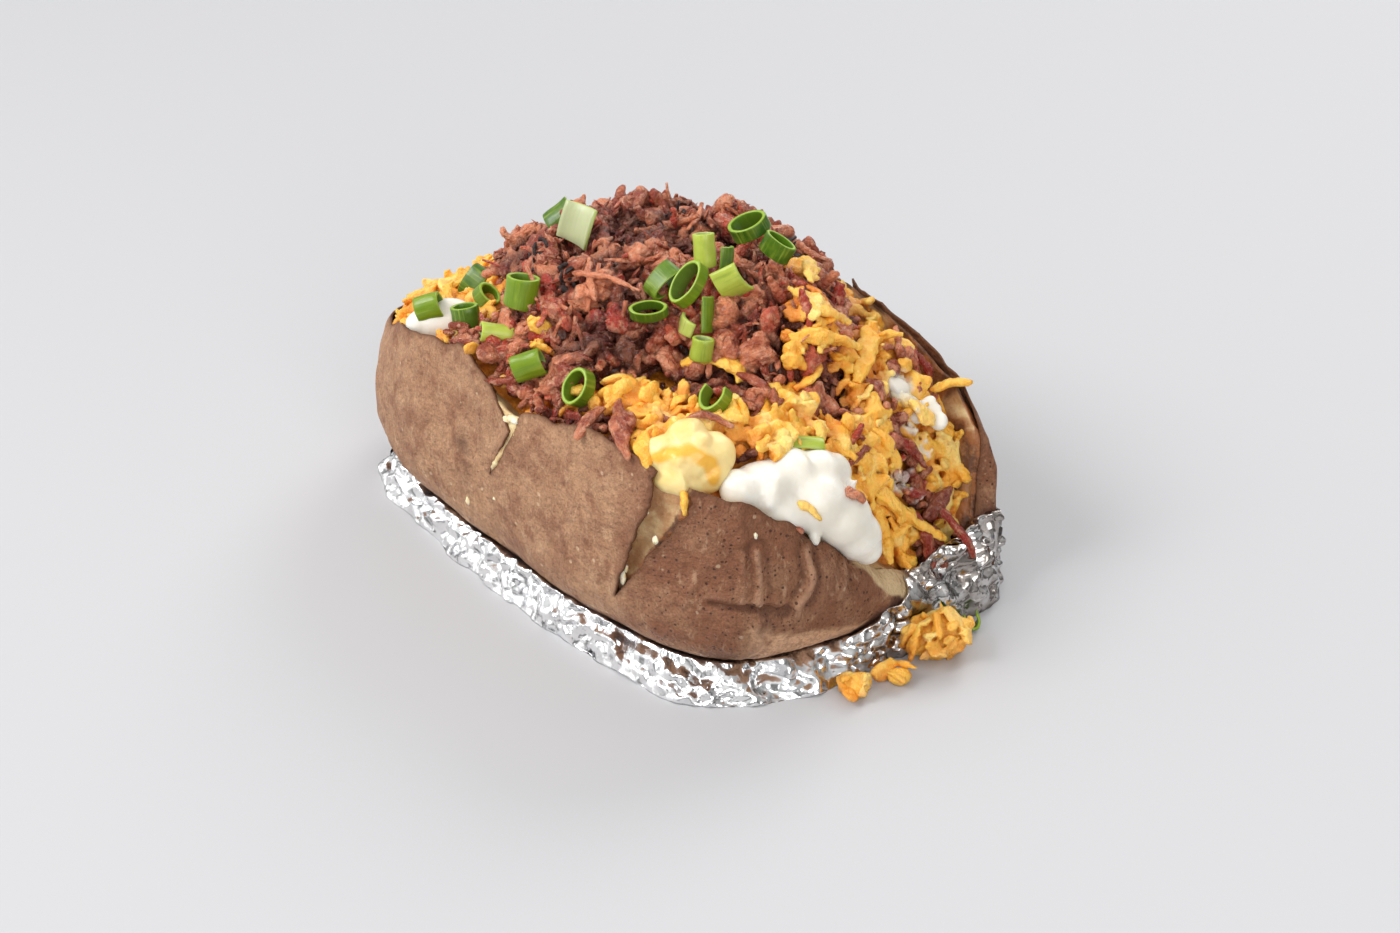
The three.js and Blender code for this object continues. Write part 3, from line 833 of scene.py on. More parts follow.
def beef_finish():
    """Chopped smoked beef: fibres drawn along each piece, each piece its own brown."""
    look = Finish(
        "chopped_beef", (1.0, 0.35, 0.25), Roughness=0.3, Subsurface_Weight=0.15, Subsurface_Scale=0.001,
        Coat_Weight=0.25, Coat_Roughness=0.16,
    )
    tint = look.attribute("tint")
    fibre = look.relief(1.3, 3.0, 6.0, look.attribute("grain", "Vector"))
    patches = look.mottle(1.8, 4.0, 0.4, 0.6)
    tone = look.plus(look.times(tint, 0.6), look.times(look.mottle(9.0, 4.0, 0.4, 0.6), 0.4))
    look.start(look.ranged(tone, 0.2, 0.75), (150, 56, 32), (246, 154, 110))
    reddest = look.calc("LESS_THAN", look.calc("FRACT", look.times(tint, 7.3)), 0.18)
    look.over(look.times(reddest, 0.65), 206, 44, 30)
    look.over(look.times(patches, 0.3), 190, 96, 62)
    # Pale pink patches: fat, made paler as a painted highlight.
    look.over(look.times(look.mottle(3.0, 4.0, 0.52, 0.62), 0.6), 244, 178, 142)
    # Along the fibres, over streaked colour: painted highlight on the ridges and painted shade in the
    # grooves.
    look.over(look.ranged(fibre, 0.53, 0.68, 0, 0.55), 242, 170, 132)
    look.over(look.ranged(fibre, 0.47, 0.33, 0, 0.55), 124, 46, 28)
    # Painted shade in the crevices between the clumps.
    look.over(look.times(look.attribute("deep"), 0.8), 66, 18, 10)
    look.over(look.times(look.attribute("creamed"), 0.85), 232, 216, 206)
    look.dull(patches, 0.2, 0.45)
    look.bump(look.plus(fibre, look.relief(0.9, 4.0)), 1.0, 1.9)
    return look.done()


def bark_finish():
    """The black smoked crust of the beef."""
    look = Finish("beef_bark", Roughness=0.34)
    look.start(look.mottle(1.2, 5.0, 0.45, 0.62), (26, 18, 17), (66, 40, 34))
    look.bump(look.relief(0.9, 5.0), 1.0, 0.9)
    return look.done()


def cream_finish():
    look = Finish(
        "sour_cream", (1.0, 0.9, 0.75), Roughness=0.32, Subsurface_Weight=0.5, Subsurface_Scale=0.003,
    )
    soft = look.mottle(9.0, 2.0)
    look.start(soft, (240, 236, 226), (230, 224, 210))
    look.dull(soft, 0.24, 0.42)
    look.bump(look.relief(3.0, 2.0), 0.25, 0.6)
    return look.done()


def butter_finish():
    """Soft butter, deeper yellow where it melts."""
    look = Finish("butter", (1.0, 0.8, 0.35), Roughness=0.34, Subsurface_Weight=0.4, Subsurface_Scale=0.003)
    melt = look.calc("MAXIMUM", look.attribute("melt"), look.times(look.mottle(6.5, 2.0, 0.48, 0.66), 0.35))
    look.start(melt, (246, 220, 152), (242, 184, 70))
    look.dull(melt, 0.42, 0.26)
    look.bump(look.relief(2.2, 3.0), 0.35, 0.6)
    return look.done()


def onion_finish():
    """Spring onion: waxy green outside with fine ribs, paler inside and at the cuts."""
    look = Finish(
        "spring_onion", (0.6, 1.0, 0.3), Roughness=0.34, Subsurface_Weight=0.15, Subsurface_Scale=0.0015,
    )
    tone = look.attribute("tone")
    ribs = look.relief(0.8, 2.0, 14.0, look.attribute("grain", "Vector"))
    look.start(look.ranged(tone, 0.0, 0.5), (40, 86, 16), (114, 142, 18))
    look.over(look.ranged(tone, 0.5, 0.85), 192, 202, 84)
    look.over(look.ranged(tone, 0.85, 1.0), 176, 178, 140)
    look.over(look.times(look.mottle(3.0, 3.0), 0.3), 134, 158, 34)
    look.over(look.ranged(ribs, 0.5, 0.75, 0, 0.45), 166, 184, 66)
    look.over(look.ranged(ribs, 0.46, 0.25, 0, 0.35), 44, 94, 18)
    inner = look.mix(look.ranged(tone, 0.3, 1.0), srgb(84, 120, 24), srgb(188, 194, 150))
    look.colour = look.mix(look.times(look.attribute("wall"), 0.8), look.colour, inner)
    look.over(look.times(look.attribute("cut"), 0.6), 176, 202, 66)
    look.bump(ribs, 0.35, 0.25)
    return look.done()


def crumb_finish():
    look = Finish("potato_crumb", Roughness=0.5, Subsurface_Weight=0.3, Subsurface_Scale=0.001)
    look.start(look.mottle(1.5, 3.0), (250, 244, 226), (236, 214, 160))
    look.bump(look.relief(0.8, 3.0), 0.5, 0.4)
    return look.done()


BAKED_SKIN = skin_finish()
FLESH = flesh_finish()
KITCHEN_FOIL = foil_finish()
CHEDDAR = cheddar_finish()
BEEF = beef_finish()
BARK = bark_finish()
CREAM = cream_finish()
BUTTER = butter_finish()
ONION = onion_finish()
CRUMB = crumb_finish()


# ---- Potato skin and flesh ----------------------------------------------------------------------
def split_edges(split, height):
    """The angles of a split's left and right edge at heights. Both are the same below its foot."""
    rows = np.array(split["edges"])
    left = np.radians(np.interp(height, rows[:, 0], rows[:, 1]))
    right = np.radians(np.interp(height, rows[:, 0], rows[:, 2]))
    level = np.stack([height * 0, height * 0, height], axis=-1).reshape(-1, 3)
    fray = np.clip((height - rows[0, 0]) / 6, 0, 1) * 0.006 + np.clip((right - left), 0, 0.15) * 0.1
    shape = np.shape(height)
    return (
        left + fray * rough(level, 2.6, 3 + split["shut"]).reshape(shape),
        right + fray * rough(level, 3.1, 9 + split["shut"]).reshape(shape),
    )


def body_relief(points):
    """Dents and swellings that the skin and the flesh share, in mm."""
    return 1.0 * rough(points, 18, 31, 2) + 0.5 * rough(points * [1, 1, 0.7], 8, 35, 2)


# Folds in the skin beside the open end: points along each crest, and its height. Creases are below 0.
FOLDS = [
    ([(72.0, -32.0, 41.0), (72.6, -32.6, 34), (73.4, -33, 27.5)], 1.1),
    ([(69.8, -35.0, 39.5), (71.0, -35.2, 33), (71.5, -35.6, 28)], 0.7),
    ([(76.0, -20.3, 38.0), (77.7, -20.8, 31.8), (77.6, -24.5, 25.5)], 1.5),
    ([(66.5, -41, 27), (73.5, -33, 26.2), (76.9, -26.2, 25.0)], -0.9),
    ([(79.0, -9, 31.5), (79.3, -14, 24.5)], 0.8),
    ([(72.4, -33.5, 24), (72.5, -32, 17), (69.0, -34, 10)], 0.9),
    ([(62, -43, 33), (61, -44, 26), (63, -42.6, 20)], 0.4),
]
# A dark swirl low on the same panel.
SWIRL = [(73.2, -30.5, 23), (72.8, -33, 17), (69.6, -33.4, 12), (64, -39.5, 9.5)]


# How far a degree goes round the wall at the open end, in mm.
MM_PER_DEGREE = 1.36


def on_wall(points):
    """Places laid flat: mm round the wall at the open end, and mm up it."""
    points = np.array(points, dtype=float)
    turn = np.degrees(np.arctan2(points[:, 1], points[:, 0]))
    return np.stack([turn * MM_PER_DEGREE, points[:, 2]], axis=1)


def fold_crests(points):
    """How near each point is to the crest of a fold, below 0 in a crease."""
    flat = on_wall(points + 0.5 * noise_vectors(points, 4, 43))
    total = np.zeros(len(points))
    for path, height in FOLDS:
        far = near_path(flat, on_wall(path))
        total += height * (np.exp(-((far / 1.0) ** 2)) - 0.45 * np.exp(-(((far - 2.3) / 1.1) ** 2)))
    return total


def skin_relief(points, angle):
    """Fine wrinkles of the skin alone, which run mostly up and down."""
    degrees = np.degrees(angle)
    tall = points * [1, 1, 0.4] + 2 * noise_vectors(points, 7, 53)
    creased = smooth(degrees, -42, -25) * smooth(degrees, 20, -2)
    fold = 1 - np.abs(rough(tall, 5.5, 51, 2)) * 2.2
    fine = noise(points * [1, 1, 0.3], 1.9, 57)
    broad = noise(points * [1, 1, 0.35], 9, 61)
    bend = points + 3 * noise_vectors(points, 14, 63)
    long = 1 - np.abs(noise(bend * [1, 1, 0.3], 12, 66)) * 2.5
    long = 0.4 * np.clip(long, 0, 1) ** 2
    fold = (0.22 + 0.4 * creased) * np.clip(fold, 0, 1) ** 3
    return fold + 0.1 * fine + 0.2 * broad + long + fold_crests(points)


def bake_tone_and_bounce_share(angle, points):
    """How dark the skin is baked: tan on the left, brown on the panel beside the open end. Below 0, low on
    that panel, is painted light bounced up from the plate, paler than any tan.
    """
    degrees = np.degrees(angle)
    dark = smooth(degrees, -52, -38) * 0.8
    dark = dark * mix(1, 0.55, smooth(degrees, 30, 70))
    dark = dark + 0.25 * smooth(degrees, 60, 170) * smooth(degrees, 180, 170)
    wander = 1.6 * rough(points.reshape(-1, 3), 7, 73, 2).reshape(degrees.shape)
    edge = mix(21, 12, np.clip((degrees + 25) / 23, 0, 1)) + wander
    height = points[..., 2]
    # Painted light: low on the right panel the skin is pushed paler, for light bounced up from the plate.
    low_bounce_light = smooth(height, edge + 0.8, edge - 0.8) * smooth(degrees, -28, -24) * smooth(degrees, 6, 0)
    low_bounce_light += 0.35 * smooth(height, 16, 9) * smooth(degrees, -50, -44) * smooth(degrees, -24, -28)
    swirl = 0.16 * rough(points.reshape(-1, 3) * [1, 1, 0.6], 16, 71, 2).reshape(degrees.shape)
    upper = 0.15 * smooth(height, 20, 50) * smooth(degrees, -60, -40)
    return np.clip(0.1 + dark + upper - 1.6 * low_bounce_light + swirl, -0.7, 1.1)


def skin_object():
    columns = 560
    shut = all_round(columns)
    angle, rise = np.meshgrid(shut, rise_steps(20, 54))
    level = skin_point(angle, rise)[..., 2]
    sides = {"left": angle.copy(), "right": angle.copy()}
    curls = {"left": np.zeros(angle.shape), "right": np.zeros(angle.shape)}
    torn = {"left": np.zeros(angle.shape), "right": np.zeros(angle.shape)}
    doubled = np.zeros(angle.shape, dtype=bool)
    for split in SPLITS:
        column = int(np.argmin(np.abs(shut - math.radians(split["shut"]))))
        centre = shut[column]
        left, right = split_edges(split, level)
        open_here = level > split["edges"][0][0]
        doubled[:, column] |= open_here[:, column]
        fade = np.clip(1 - np.abs(angle - centre) / math.radians(22), 0, 1)
        for side, edge, curl in (("left", left, split["curl"][0]), ("right", right, split["curl"][1])):
            here = (angle <= centre + 1e-9) if side == "left" else (angle >= centre - 1e-9)
            shift = fade * (edge - centre)
            for copy in ("left", "right"):
                own = here & ((copy == side) | (np.abs(angle - centre) > 1e-9))
                sides[copy] += np.where(own, shift, 0)
                away = np.abs(angle - centre) * 60
                lift = np.clip((level - split["edges"][0][0]) / 8, 0, 1)
                curls[copy] += np.where(own & open_here, curl * lift * np.exp(-away / 2.2), 0)
                torn[copy] = np.maximum(torn[copy], np.where(own & open_here, np.exp(-away / 0.7), 0))
    made = {}
    for copy in ("left", "right"):
        turn = sides[copy]
        points = skin_point(turn, rise)
        flat = points.reshape(-1, 3)
        up = up_wall(rise)
        ragged = 1.5 * rough(polar(turn, 60, 0 * turn).reshape(-1, 3), 8, 5, 4).reshape(turn.shape)
        points[..., 2] += ragged * up**4
        out = body_relief(flat) + skin_relief(flat, turn.reshape(-1))
        out = out.reshape(turn.shape) * np.clip(rise * 3 - 0.2, 0, 1)
        out += curls[copy] + 0.7 * up**8 * noise(flat, 7, 81).reshape(turn.shape)
        points += outward(points) * out[..., None]
        rim = rim_height(turn)
        to_rim = (1 - up) * (rim - belly_height(rim))
        made[copy] = (points, np.maximum(torn[copy], np.exp(-np.maximum(to_rim, 0) / 0.8)))
    points, edges = made["right"]
    index = np.arange(angle.size).reshape(angle.shape)
    as_left = index.copy()
    as_left[doubled] = angle.size + np.arange(doubled.sum())
    all_points = np.vstack([points.reshape(-1, 3), made["left"][0][doubled], [[0, 0, POTATO_BOTTOM]]])
    all_torn = np.concatenate([edges.reshape(-1), made["left"][1][doubled], [0]])
    to_right = np.roll(as_left, -1, axis=1)
    quads = np.stack([index[:-1], to_right[:-1], to_right[1:], index[1:]], axis=-1).reshape(-1, 4)
    pole = len(all_points) - 1
    cap = np.stack([np.full(columns, pole), to_right[0], index[0]], axis=1)
    turn = np.arctan2(all_points[:, 1], all_points[:, 0])
    degrees = np.degrees(turn)
    spot = smooth(near_path(on_wall(all_points), on_wall(SWIRL)) + 1.4 * noise(all_points, 4, 95), 3.2, 0.4)
    pit = np.exp(-(((degrees + 107.5) / 2.6) ** 2 + ((all_points[:, 2] - 34.5) / 2.4) ** 2))
    pit += 0.5 * np.exp(-(((degrees + 105) / 2.2) ** 2 + ((all_points[:, 2] - 27) / 6) ** 2))
    stain = np.clip(0.6 * spot + 1.1 * pit, 0, 1) * (0.7 + 0.6 * rough(all_points, 3, 91))
    collar = round_table(COLLAR, turn, 2) + 1.5 * noise(all_points, 8, 93)
    ragged = noise(all_points, 3, 97)
    bare = smooth(degrees + ragged, -5.5, -3.5) * smooth(degrees, 10, 7)
    bare *= smooth(all_points[:, 2] - rim_height(turn) + ragged + 0.4 * degrees, -4.6, -3.4)
    # Painted shade: the skin darkens below and just above the foil's crest, where the gap between foil and
    # skin is in shadow.
    stain = np.maximum(stain, smooth(all_points[:, 2], collar + 2.2, collar - 0.6))
    values = {
        "roast": bake_tone_and_bounce_share(turn, all_points),
        "torn": np.clip(all_torn, 0, 1),
        "stain": np.clip(stain, 0, 1),
        "crest": fold_crests(all_points),
        "bare": bare,
    }
    skin = make_object("potato_skin", all_points, [quads, cap], BAKED_SKIN, values)
    wall = skin.modifiers.new("wall", "SOLIDIFY")
    wall.thickness, wall.offset = SKIN_THICKNESS * MM, -1
    return flattened(skin)


def flesh_object():
    columns = 800
    angle = all_round(columns)
    rings, under = [np.array([[0, 0, POTATO_BOTTOM + 1.2]])], [np.zeros(1)]
    for rise in rise_steps(8, 46):
        points = skin_point(angle, rise)
        out = body_relief(points) + np.minimum(fold_crests(points), 0) - 0.95
        groove, bulge, side = np.zeros(columns), np.zeros(columns), np.ones(columns)
        for split in SPLITS:
            left, right = split_edges(split, points[:, 2])
            half = np.maximum((right - left) / 2, 1e-4)
            across = np.abs(angle - (left + right) / 2) / (half + 0.008)
            foot = split["edges"][0][0]
            deep = np.clip((points[:, 2] - foot) / 14, 0, 1) * np.clip(1 - across**2, 0, 1) ** 0.7
            groove = np.maximum(groove, deep)
            inside = smooth(across, 1.1, 0.8) * np.clip((points[:, 2] - foot) / 4, 0, 1)
            bulge = np.maximum(bulge, split["bulge"] * inside)
            pale = 1 - 1.6 * deep - 0.5 * split["bulge"]
            side = np.where(inside > 0.3, np.maximum(split["browned"], pale), side)
        up = up_wall(rise)
        fluff = 0.5 * rough(points, 3.0, 101)
        out = out + (fluff - 0.9) * groove + bulge
        points[:, 2] -= 1.1 * up**6
        points += outward(points) * out[:, None]
        rings.append(points)
        under.append(np.clip(side, 0, 1))
    for inward in np.linspace(0.012, 0.9, 26) ** 1.3:
        points = trough_point(angle, np.full(columns, inward))
        blend = (body_relief(points) * (1 - smooth(inward, 0.02, 0.12)) - 0.85)[:, None]
        points += outward(points) * blend
        wall = open_wall(points[:, 0], points[:, 1]) * smooth(inward, 0.02, 0.1)
        points[:, 2] += -0.8 * (1 - inward) + 0.5 * rough(points, 3.4, 103) - 12 * wall
        rings.append(points)
        bare = open_wall(points[:, 0], points[:, 1]) * mix(0.9, 0.5, smooth(inward, 0.02, 0.25))
        degrees = np.degrees(angle)
        ragged = points[:, 2] + rough(points, 4, 77)
        peeled = smooth(degrees, 26, 29) * smooth(degrees, 40, 36) * smooth(ragged, 39, 42)
        under.append(np.maximum(max(0.0, 0.2 - 12 * inward), bare) * (1 - peeled))
    rings.append(np.array([[0, 0, TROUGH_FLOOR]]))
    under.append(np.zeros(1))
    points, faces = ring_mesh(rings)
    return make_object("potato_flesh", points, faces, FLESH, {"under_skin": np.concatenate(under)})


# Crumbs of flesh stuck to the skin: place, and size across, along and through.
FLESH_CRUMBS = [
    ((47.6, -45.6, 45.6), (3.4, 1.6, 1.4)), ((46.4, -46.2, 44.4), (2.0, 1.2, 2.0)),
    ((52.8, -46.4, 40.2), (1.8, 1.2, 2.4)), ((44.2, -49.4, 26.7), (2.0, 1.4, 3.6)),
    ((45.2, -49.2, 29.4), (1.2, 1.0, 2.2)), ((71.0, -31.8, 44.7), (1.2, 1.2, 1.8)),
    ((62.1, -43.2, 27.0), (1.2, 1.0, 1.4)), ((-14.2, -51.6, 19.2), (1.4, 1.0, 2.6)),
    ((-3.1, -51.4, 25.5), (1.6, 0.8, 0.9)), ((3.4, -49.6, 50.6), (4.0, 1.8, 1.8)),
    ((1.0, -49.9, 49.6), (2.4, 1.4, 1.4)),
]


def crumbs_object():
    pieces = []
    for number, (at, size) in enumerate(FLESH_CRUMBS):
        points, faces = lump(400 + number, size, 0.5)
        pieces.append((points + np.array(at), faces))
    points, faces = joined(pieces)
    return make_object("flesh_crumbs", points, faces, CRUMB)


skin = skin_object()
flesh = flesh_object()
for piece in (skin, flesh, crumbs_object()):
    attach(piece, "root")
    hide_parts("potato")


# ---- Foil ---------------------------------------------------------------------------------------
def crumple(points, size, seed):
    """Sharp creases with flat facets between, of about -1 to 1."""
    waves = 6
    chance = np.random.default_rng(seed)
    points = points + noise_vectors(points, size * 2.4, seed) * size * 0.5
    total = np.zeros(len(points))
    for _ in range(waves):
        direction = unit(chance.normal(size=3))
        turn = points @ direction / (size * chance.uniform(0.8, 1.5)) + chance.uniform()
        total += np.abs(turn % 1 * 2 - 1) * 2 - 1
    return total / waves * 1.7


def foil_object():
    columns = 880
    angle = all_round(columns)
    degrees = np.degrees(angle)
    skin_reach = plan_radius(angle)
    foot = polar(angle, skin_reach, 0 * angle)
    reach = skin_reach + round_table(COLLAR, angle, 1) + 1.3 * lumps(*foot.T, 23, 5)
    tall = round_table(COLLAR, angle, 2) + 1.2 * lumps(*foot.T, 15, 7)
    tall += 1.5 * rough(foot, 5.5, 7, 3)
    steps = np.linspace(0.02, 1, 90)
    profile = np.stack([skin_point(angle, np.full(columns, step)) for step in steps])
    radii, heights = np.hypot(profile[..., 0], profile[..., 1]), profile[..., 2]
    def skin_radius(height):
        return np.array([np.interp(height[k], heights[:, k], radii[:, k]) for k in range(columns)])
    crest_radius = skin_radius(tall) + 1.5
    rings = [np.zeros((1, 3))]
    for share in (0.5, 0.9, 0.97):
        rings.append(polar(angle, reach * share, 0 * angle))
    for up in np.linspace(0, 1, 34):
        radius = mix(reach, crest_radius, up**1.15)
        height = tall * up**0.85
        points = polar(angle, radius, height)
        lean = np.arctan2(1.3 * tall, np.maximum(reach - crest_radius, 1))
        out = polar(angle, np.sin(lean), np.cos(lean))
        smoother = mix(1, 0.55, smooth(degrees, -28, -20) * smooth(degrees, -8, -14))
        smoother = smoother + 0.7 * smooth(degrees, -6, 4) * smooth(degrees, 55, 45)
        deep = 1.8 * crumple(points, 11, 3) + 1.15 * crumple(points, 5.5, 5) * smoother
        deep += 0.55 * crumple(points, 2.6, 8) * smoother
        points += out * (deep * mix(0.55, 1, min(1, 4 * up * (1.3 - up))))[:, None]
        clear = skin_radius(points[:, 2]) + 0.7
        radius = np.maximum(np.hypot(points[:, 0], points[:, 1]), clear)
        points = polar(angle, radius, np.maximum(points[:, 2], 0))
        rings.append(points)
    crest = rings[-1]
    crest_height = crest[:, 2]
    for down, inset in ((0.4, 0.35), (1.6, 0.7), (4.5, 0.85)):
        height = np.maximum(crest_height - down, 1.0)
        radius = skin_radius(height) + 0.35
        radius = np.minimum(np.hypot(crest[:, 0], crest[:, 1]) - inset, radius + (0.6 if down < 1 else 0))
        rings.append(polar(angle, np.maximum(radius, skin_radius(height) + 0.2), height))
    for share, height in ((0.8, 1.1), (0.5, 0.9)):
        rings.append(polar(angle, skin_reach * share, 0 * angle + height))
    rings.append(np.array([[0, 0, 0.9]]))
    points, faces = ring_mesh(rings)
    low, high = (np.array(corner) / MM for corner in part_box("foil"))
    turn = np.degrees(np.arctan2(points[:, 1], points[:, 0]))
    # The open end of the foil: crumpled more there, and darkened by painted shade.
    crush = smooth(turn, -12, 2) * smooth(turn, 60, 45)
    return make_object("foil_wrap", np.clip(points, low, high), faces, KITCHEN_FOIL, {"crush": crush})


foil = foil_object()
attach(foil, "root")
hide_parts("foil")


# ---- Scattered pieces ---------------------------------------------------------------------------
def start_tree(name, **inputs):
    """An empty Geometry Nodes tree with named inputs, each given as its kind of socket."""
    tree = bpy.data.node_groups.new(name, "GeometryNodeTree")
    for key, kind in inputs.items():
        tree.interface.new_socket(key, in_out="INPUT", socket_type="NodeSocket" + kind)
    tree.interface.new_socket("Geometry", in_out="OUTPUT", socket_type="NodeSocketGeometry")
    return tree, tree.nodes.new("NodeGroupInput").outputs


def end_tree(tree, geometry, finish):
    real = add_node(tree, "GeometryNodeRealizeInstances", {"Geometry": geometry}).outputs[0]
    done = add_node(tree, "GeometryNodeSetMaterial", {"Geometry": real, "Material": finish})
    return end_group(tree, done.outputs[0])


def scatter_tree():
    """Lays pieces from a collection over a surface, packed as close as Spacing, each turned about."""
    tree, entry = start_tree(
        "scatter", Surface="Geometry", Pieces="Collection", Spacing="Float", Smallest="Float",
        Largest="Float", Tilt="Float", Lift="Float", Loose="Float", Seed="Int", Finish="Material",
    )

    def between(low, high, seed):
        inputs = {2: low, 3: high, "Seed": seed}
        return add_node(tree, "FunctionNodeRandomValue", inputs, data_type="FLOAT").outputs[1]

    cover = add_node(
        tree, "GeometryNodeInputNamedAttribute", {"Name": "cover"}, data_type="FLOAT",
    ).outputs[0]
    spread = add_node(
        tree, "GeometryNodeDistributePointsOnFaces",
        {"Mesh": entry["Surface"], "Distance Min": entry["Spacing"], "Density Max": 4e6,
         "Density Factor": cover, "Seed": entry["Seed"]},
        distribute_method="POISSON",
    ).outputs
    swing = math_node(tree, "MULTIPLY", entry["Loose"], math.pi)
    own = between(math_node(tree, "MULTIPLY", swing, -1.0), swing, entry["Seed"])
    drift = add_node(tree, "ShaderNodeTexNoise", {"Scale": 1 / 0.016, "Detail": 0.0}).outputs[0]
    spin = math_node(tree, "MULTIPLY_ADD", drift, 4 * TURN, own)
    back = math_node(tree, "MULTIPLY", entry["Tilt"], -1.0)
    seed_two = math_node(tree, "ADD", entry["Seed"], 11.0)
    tilts = [between(back, entry["Tilt"], math_node(tree, "ADD", seed_two, extra)) for extra in (1.0, 2.0)]
    turned = add_node(tree, "ShaderNodeCombineXYZ", {"X": tilts[0], "Y": tilts[1], "Z": spin}).outputs[0]
    local = add_node(tree, "FunctionNodeEulerToRotation", {0: turned}).outputs[0]
    rotation = add_node(
        tree, "FunctionNodeRotateRotation", {"Rotation": spread["Rotation"], "Rotate By": local},
        rotation_space="LOCAL",
    ).outputs[0]
    size = between(entry["Smallest"], entry["Largest"], seed_two)
    lift = vector_node(tree, "SCALE", spread["Normal"], entry["Lift"])
    raised = add_node(
        tree, "GeometryNodeSetPosition", {"Geometry": spread["Points"], "Offset": lift},
    ).outputs[0]
    kinds = add_node(
        tree, "GeometryNodeCollectionInfo",
        {"Collection": entry["Pieces"], "Separate Children": True, "Reset Children": True},
    ).outputs[0]
    placed = add_node(
        tree, "GeometryNodeInstanceOnPoints",
        {"Points": raised, "Instance": kinds, "Pick Instance": True, "Rotation": rotation, "Scale": size},
    ).outputs[0]
    tinted = add_node(
        tree, "GeometryNodeStoreNamedAttribute",
        {"Geometry": placed, "Name": "tint", "Value": between(0.0, 1.0, 77)},
        data_type="FLOAT", domain="INSTANCE",
    ).outputs[0]
    return end_tree(tree, tinted, entry["Finish"])


def carry_tree():
    """Reads the tint and the grain of loose pieces onto the mass they were run together into."""
    tree, entry = start_tree("carry", Mass="Geometry", Loose="Object", Finish="Material")
    source = add_node(tree, "GeometryNodeObjectInfo", {"Object": entry["Loose"]}).outputs["Geometry"]
    result = entry["Mass"]
    for key, kind in (("tint", "FLOAT"), ("grain", "FLOAT_VECTOR")):
        own = add_node(tree, "GeometryNodeInputNamedAttribute", {"Name": key}, data_type=kind).outputs[0]
        nearest = add_node(
            tree, "GeometryNodeSampleNearestSurface", {"Mesh": source, "Value": own}, data_type=kind,
        ).outputs[0]
        result = add_node(
            tree, "GeometryNodeStoreNamedAttribute", {"Geometry": result, "Name": key, "Value": nearest},
            data_type=kind, domain="POINT",
        ).outputs[0]
    return end_tree(tree, result, entry["Finish"])


SCATTER = scatter_tree()
CARRY = carry_tree()


def variants(name, meshes):
    """A collection of loose pieces to scatter. Each remembers its own place as its grain."""
    kept = bpy.data.collections.new(name)
    for number, (points, faces) in enumerate(meshes):
        piece = make_object(f"{name}_{number}", points, faces)
        set_grain(piece, points[:, [1, 2, 0]] + number * 13.0)
        bpy.context.scene.collection.objects.unlink(piece)
        kept.objects.link(piece)
    return kept


def scattered(name, bed, pieces, finish, spacing, sizes, tilt, lift, seed, loose=1.0):
    """Pieces strewn over a bed as one plain mesh. A small loose turns neighbours the same way."""
    bed.name = name
    grown_by(
        bed, SCATTER, Pieces=pieces, Spacing=spacing * MM, Smallest=sizes[0], Largest=sizes[1], Tilt=tilt,
        Lift=lift * MM, Seed=seed, Finish=finish, Loose=loose,
    )
    return flattened(bed)


def shred(seed, length, width, thickness, curl):
    """A shred of cheese: a flat strip that bends and curls, with uneven edges."""
    chance = np.random.default_rng(seed)
    count = 7
    along = np.linspace(0, 1, count)
    bend = chance.uniform(-1, 1) * curl
    heading = np.cumsum(np.full(count, bend / count) + chance.normal(0, 0.16, count))
    rise = np.cumsum(chance.normal(0, 0.2, count)) + chance.uniform(-1, 1) * curl * 0.5 * (along - 0.5)
    step = length / count
    path = np.cumsum(np.stack([np.cos(heading), np.sin(heading), np.sin(rise)], axis=1) * step, axis=0)
    path -= path.mean(axis=0)
    round_end = np.clip(np.sin(np.clip(along, 0.06, 0.94) * math.pi), 0, 1) ** 0.35
    widths = width * round_end * chance.uniform(0.7, 1.25, count)
    thick = thickness * round_end * chance.uniform(0.75, 1.2, count)
    points, faces = strip_mesh(path, widths, thick, np.linspace(0, chance.uniform(-1, 1) * curl, count))
    knobs = noise_vectors(points, 1.5, seed)
    return points + knobs * min(0.45, 0.16 * width) * [1, 1, 0.6], faces


def bed_object(height, cover, inside, step=1.3):
    """A sheet to strew things over, over the places in plan that inside() picks."""
    xs, ys = np.arange(-84, 86, step), np.arange(-60, 62, step)
    x, y = np.meshgrid(xs, ys)
    keep = inside(x, y)
    z = height(x, y)
    index = np.arange(x.size).reshape(x.shape)
    whole = keep[:-1, :-1] & keep[1:, :-1] & keep[:-1, 1:] & keep[1:, 1:]
    quads = np.stack([index[:-1, :-1], index[:-1, 1:], index[1:, 1:], index[1:, :-1]], axis=-1)[whole]
    used = np.unique(quads)
    new = np.zeros(x.size, dtype=int)
    new[used] = np.arange(len(used))
    points = np.stack([x, y, z], axis=-1).reshape(-1, 3)[used]
    values = {"cover": np.clip(cover(points[:, 0], points[:, 1]), 0, 1)}
    return make_object("bed", points, [new[quads]], None, values)


def inside_rim(x, y, margin=1.5):
    return np.hypot(x, y) < rim_radius(np.arctan2(y, x)) - margin


def near(x, y, places):
    """How near plan places of (x, y, radius) are: 1 within the radius, falling to 0 beyond."""
    nearest = np.zeros(np.shape(x))
    for px, py, radius in places:
        nearest = np.maximum(nearest, smooth(np.hypot(x - px, y - py), radius * 1.25, radius * 0.85))
    return nearest


# ---- Cheese -------------------------------------------------------------------------------------
CHEESE_DEPTH = 3.0
# How far the filling keeps from the outside of the skin, in mm.
FILLING_INSET = 2.6
